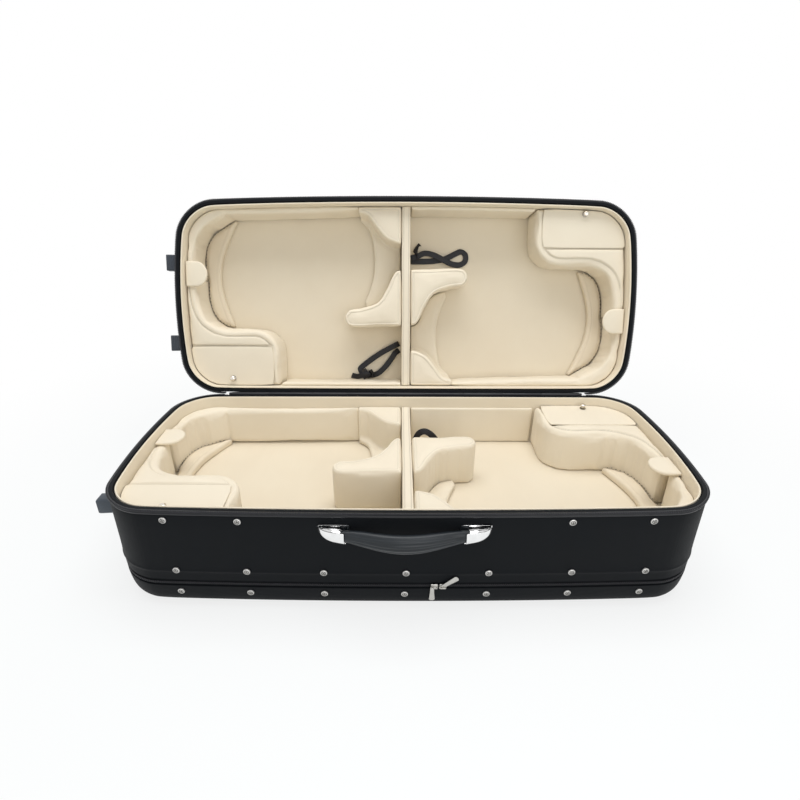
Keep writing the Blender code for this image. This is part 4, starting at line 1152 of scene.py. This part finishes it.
def camera():
    """Camera that looks down by its tilt, and is a little turned and rolled."""
    lens = bpy.data.cameras.new("camera")
    lens.sensor_width, lens.lens = SENSOR_WIDTH, FOCAL_LENGTH
    eye = bpy.data.objects.new("camera", lens)
    link(eye)
    place = Matrix.Translation((EYE_X, EYE_Y, HINGE.z + EYE_ABOVE_HINGE))
    turn = Matrix.Rotation(CAMERA_TURN, 4, "Z")
    down = Matrix.Rotation(math.pi / 2 - CAMERA_TILT, 4, "X")
    roll = Matrix.Rotation(-CAMERA_ROLL, 4, "Z")
    eye.matrix_world = place @ turn @ down @ roll
    bpy.context.scene.camera = eye


def lamp(name, place, target, size, watts):
    """Soft rectangular light at a place, facing its target."""
    light = bpy.data.lights.new(name, "AREA")
    light.shape = "RECTANGLE"
    light.size, light.size_y = size
    light.energy = watts
    item = bpy.data.objects.new(name, light)
    link(item)
    item.location = place
    item.rotation_euler = (Vector(target) - Vector(place)).to_track_quat("-Z", "Y").to_euler()


def backdrop():
    """World that is white where it shows, and lights the case at half that."""
    world = bpy.data.worlds.new("studio")
    bpy.context.scene.world = world
    world.use_nodes = True
    nodes = Nodes(world.node_tree)
    back = nodes.tree.nodes["Background"]
    strength = nodes.add("ShaderNodeMapRange", {}, Value=nodes.seen_rays(), To_Min=0.50, To_Max=1.0)
    nodes.feed(back.inputs["Strength"], strength)
    nodes.feed(back.inputs["Color"], (1.0, 1.0, 1.0))


def pale_floor():
    """Floor with the case's shadow, which turns white away from the case."""
    size, middle_y, level = 12.0, 2.0, -0.0006
    floor = primitive("plane", "floor", size=size, location=(0.0, middle_y, level))
    paint = Paint("pale floor", (0.86, 0.92, 0.92), 0.6, Specular_IOR_Level=0.2)
    paint.set(Base_Color=paint.mix(paint.mottle(0.8, 2.0), (0.84, 0.91, 0.91), (0.90, 0.94, 0.94)))
    x, y, _ = paint.axes()
    away = paint.ramp(((x * x) + (y + middle_y) * (y + middle_y)) ** 0.5, 0.50, 1.30)
    white = paint.add("ShaderNodeEmission", {}, Color=(1.0, 1.0, 1.0), Strength=1.0)
    shown = paint.seen_rays() * (away * 0.22 + 0.78)
    mixed = paint.add("ShaderNodeMixShader", {}, shown, Value(paint, paint.shader.outputs[0]), white)
    paint.feed(paint.tree.nodes["Material Output"].inputs["Surface"], mixed)
    floor.data.materials.append(paint.material)


def studio():
    """White surroundings, two soft lamps and the floor."""
    backdrop()
    lamp("overhead", place=(0.0, 0.05, 1.9), target=(0.0, 0.0, 0.1), size=(1.6, 1.1), watts=22.0)
    lamp("front", place=(0.5, -1.7, 0.9), target=(0.0, 0.1, 0.25), size=(1.6, 1.0), watts=9.0)
    bpy.context.scene.view_settings.view_transform = "Standard"
    pale_floor()


camera()
for pair in PAIRS:
    s_foam(pair)
    bolster(pair)
    edged_block(pair, "wing", grid=0.0026, seed=6.0)
    edged_block(pair, "corner_foam", grid=0.0028, seed=8.0)
    crescent(pair)
    for bay in pair:
        flap(bay)
        tab(bay)
        wall_pad(bay, pair is PAIRS[0])
divider("base_divider", BASE)
divider("lid_divider", LID @ OVER)
ribbons()
shells()
zip_teeth()
screws()
handle()
pocket_hardware()
hinge_pin()
pocket_tape()
feet()
studio()

bpy.context.view_layer.update()
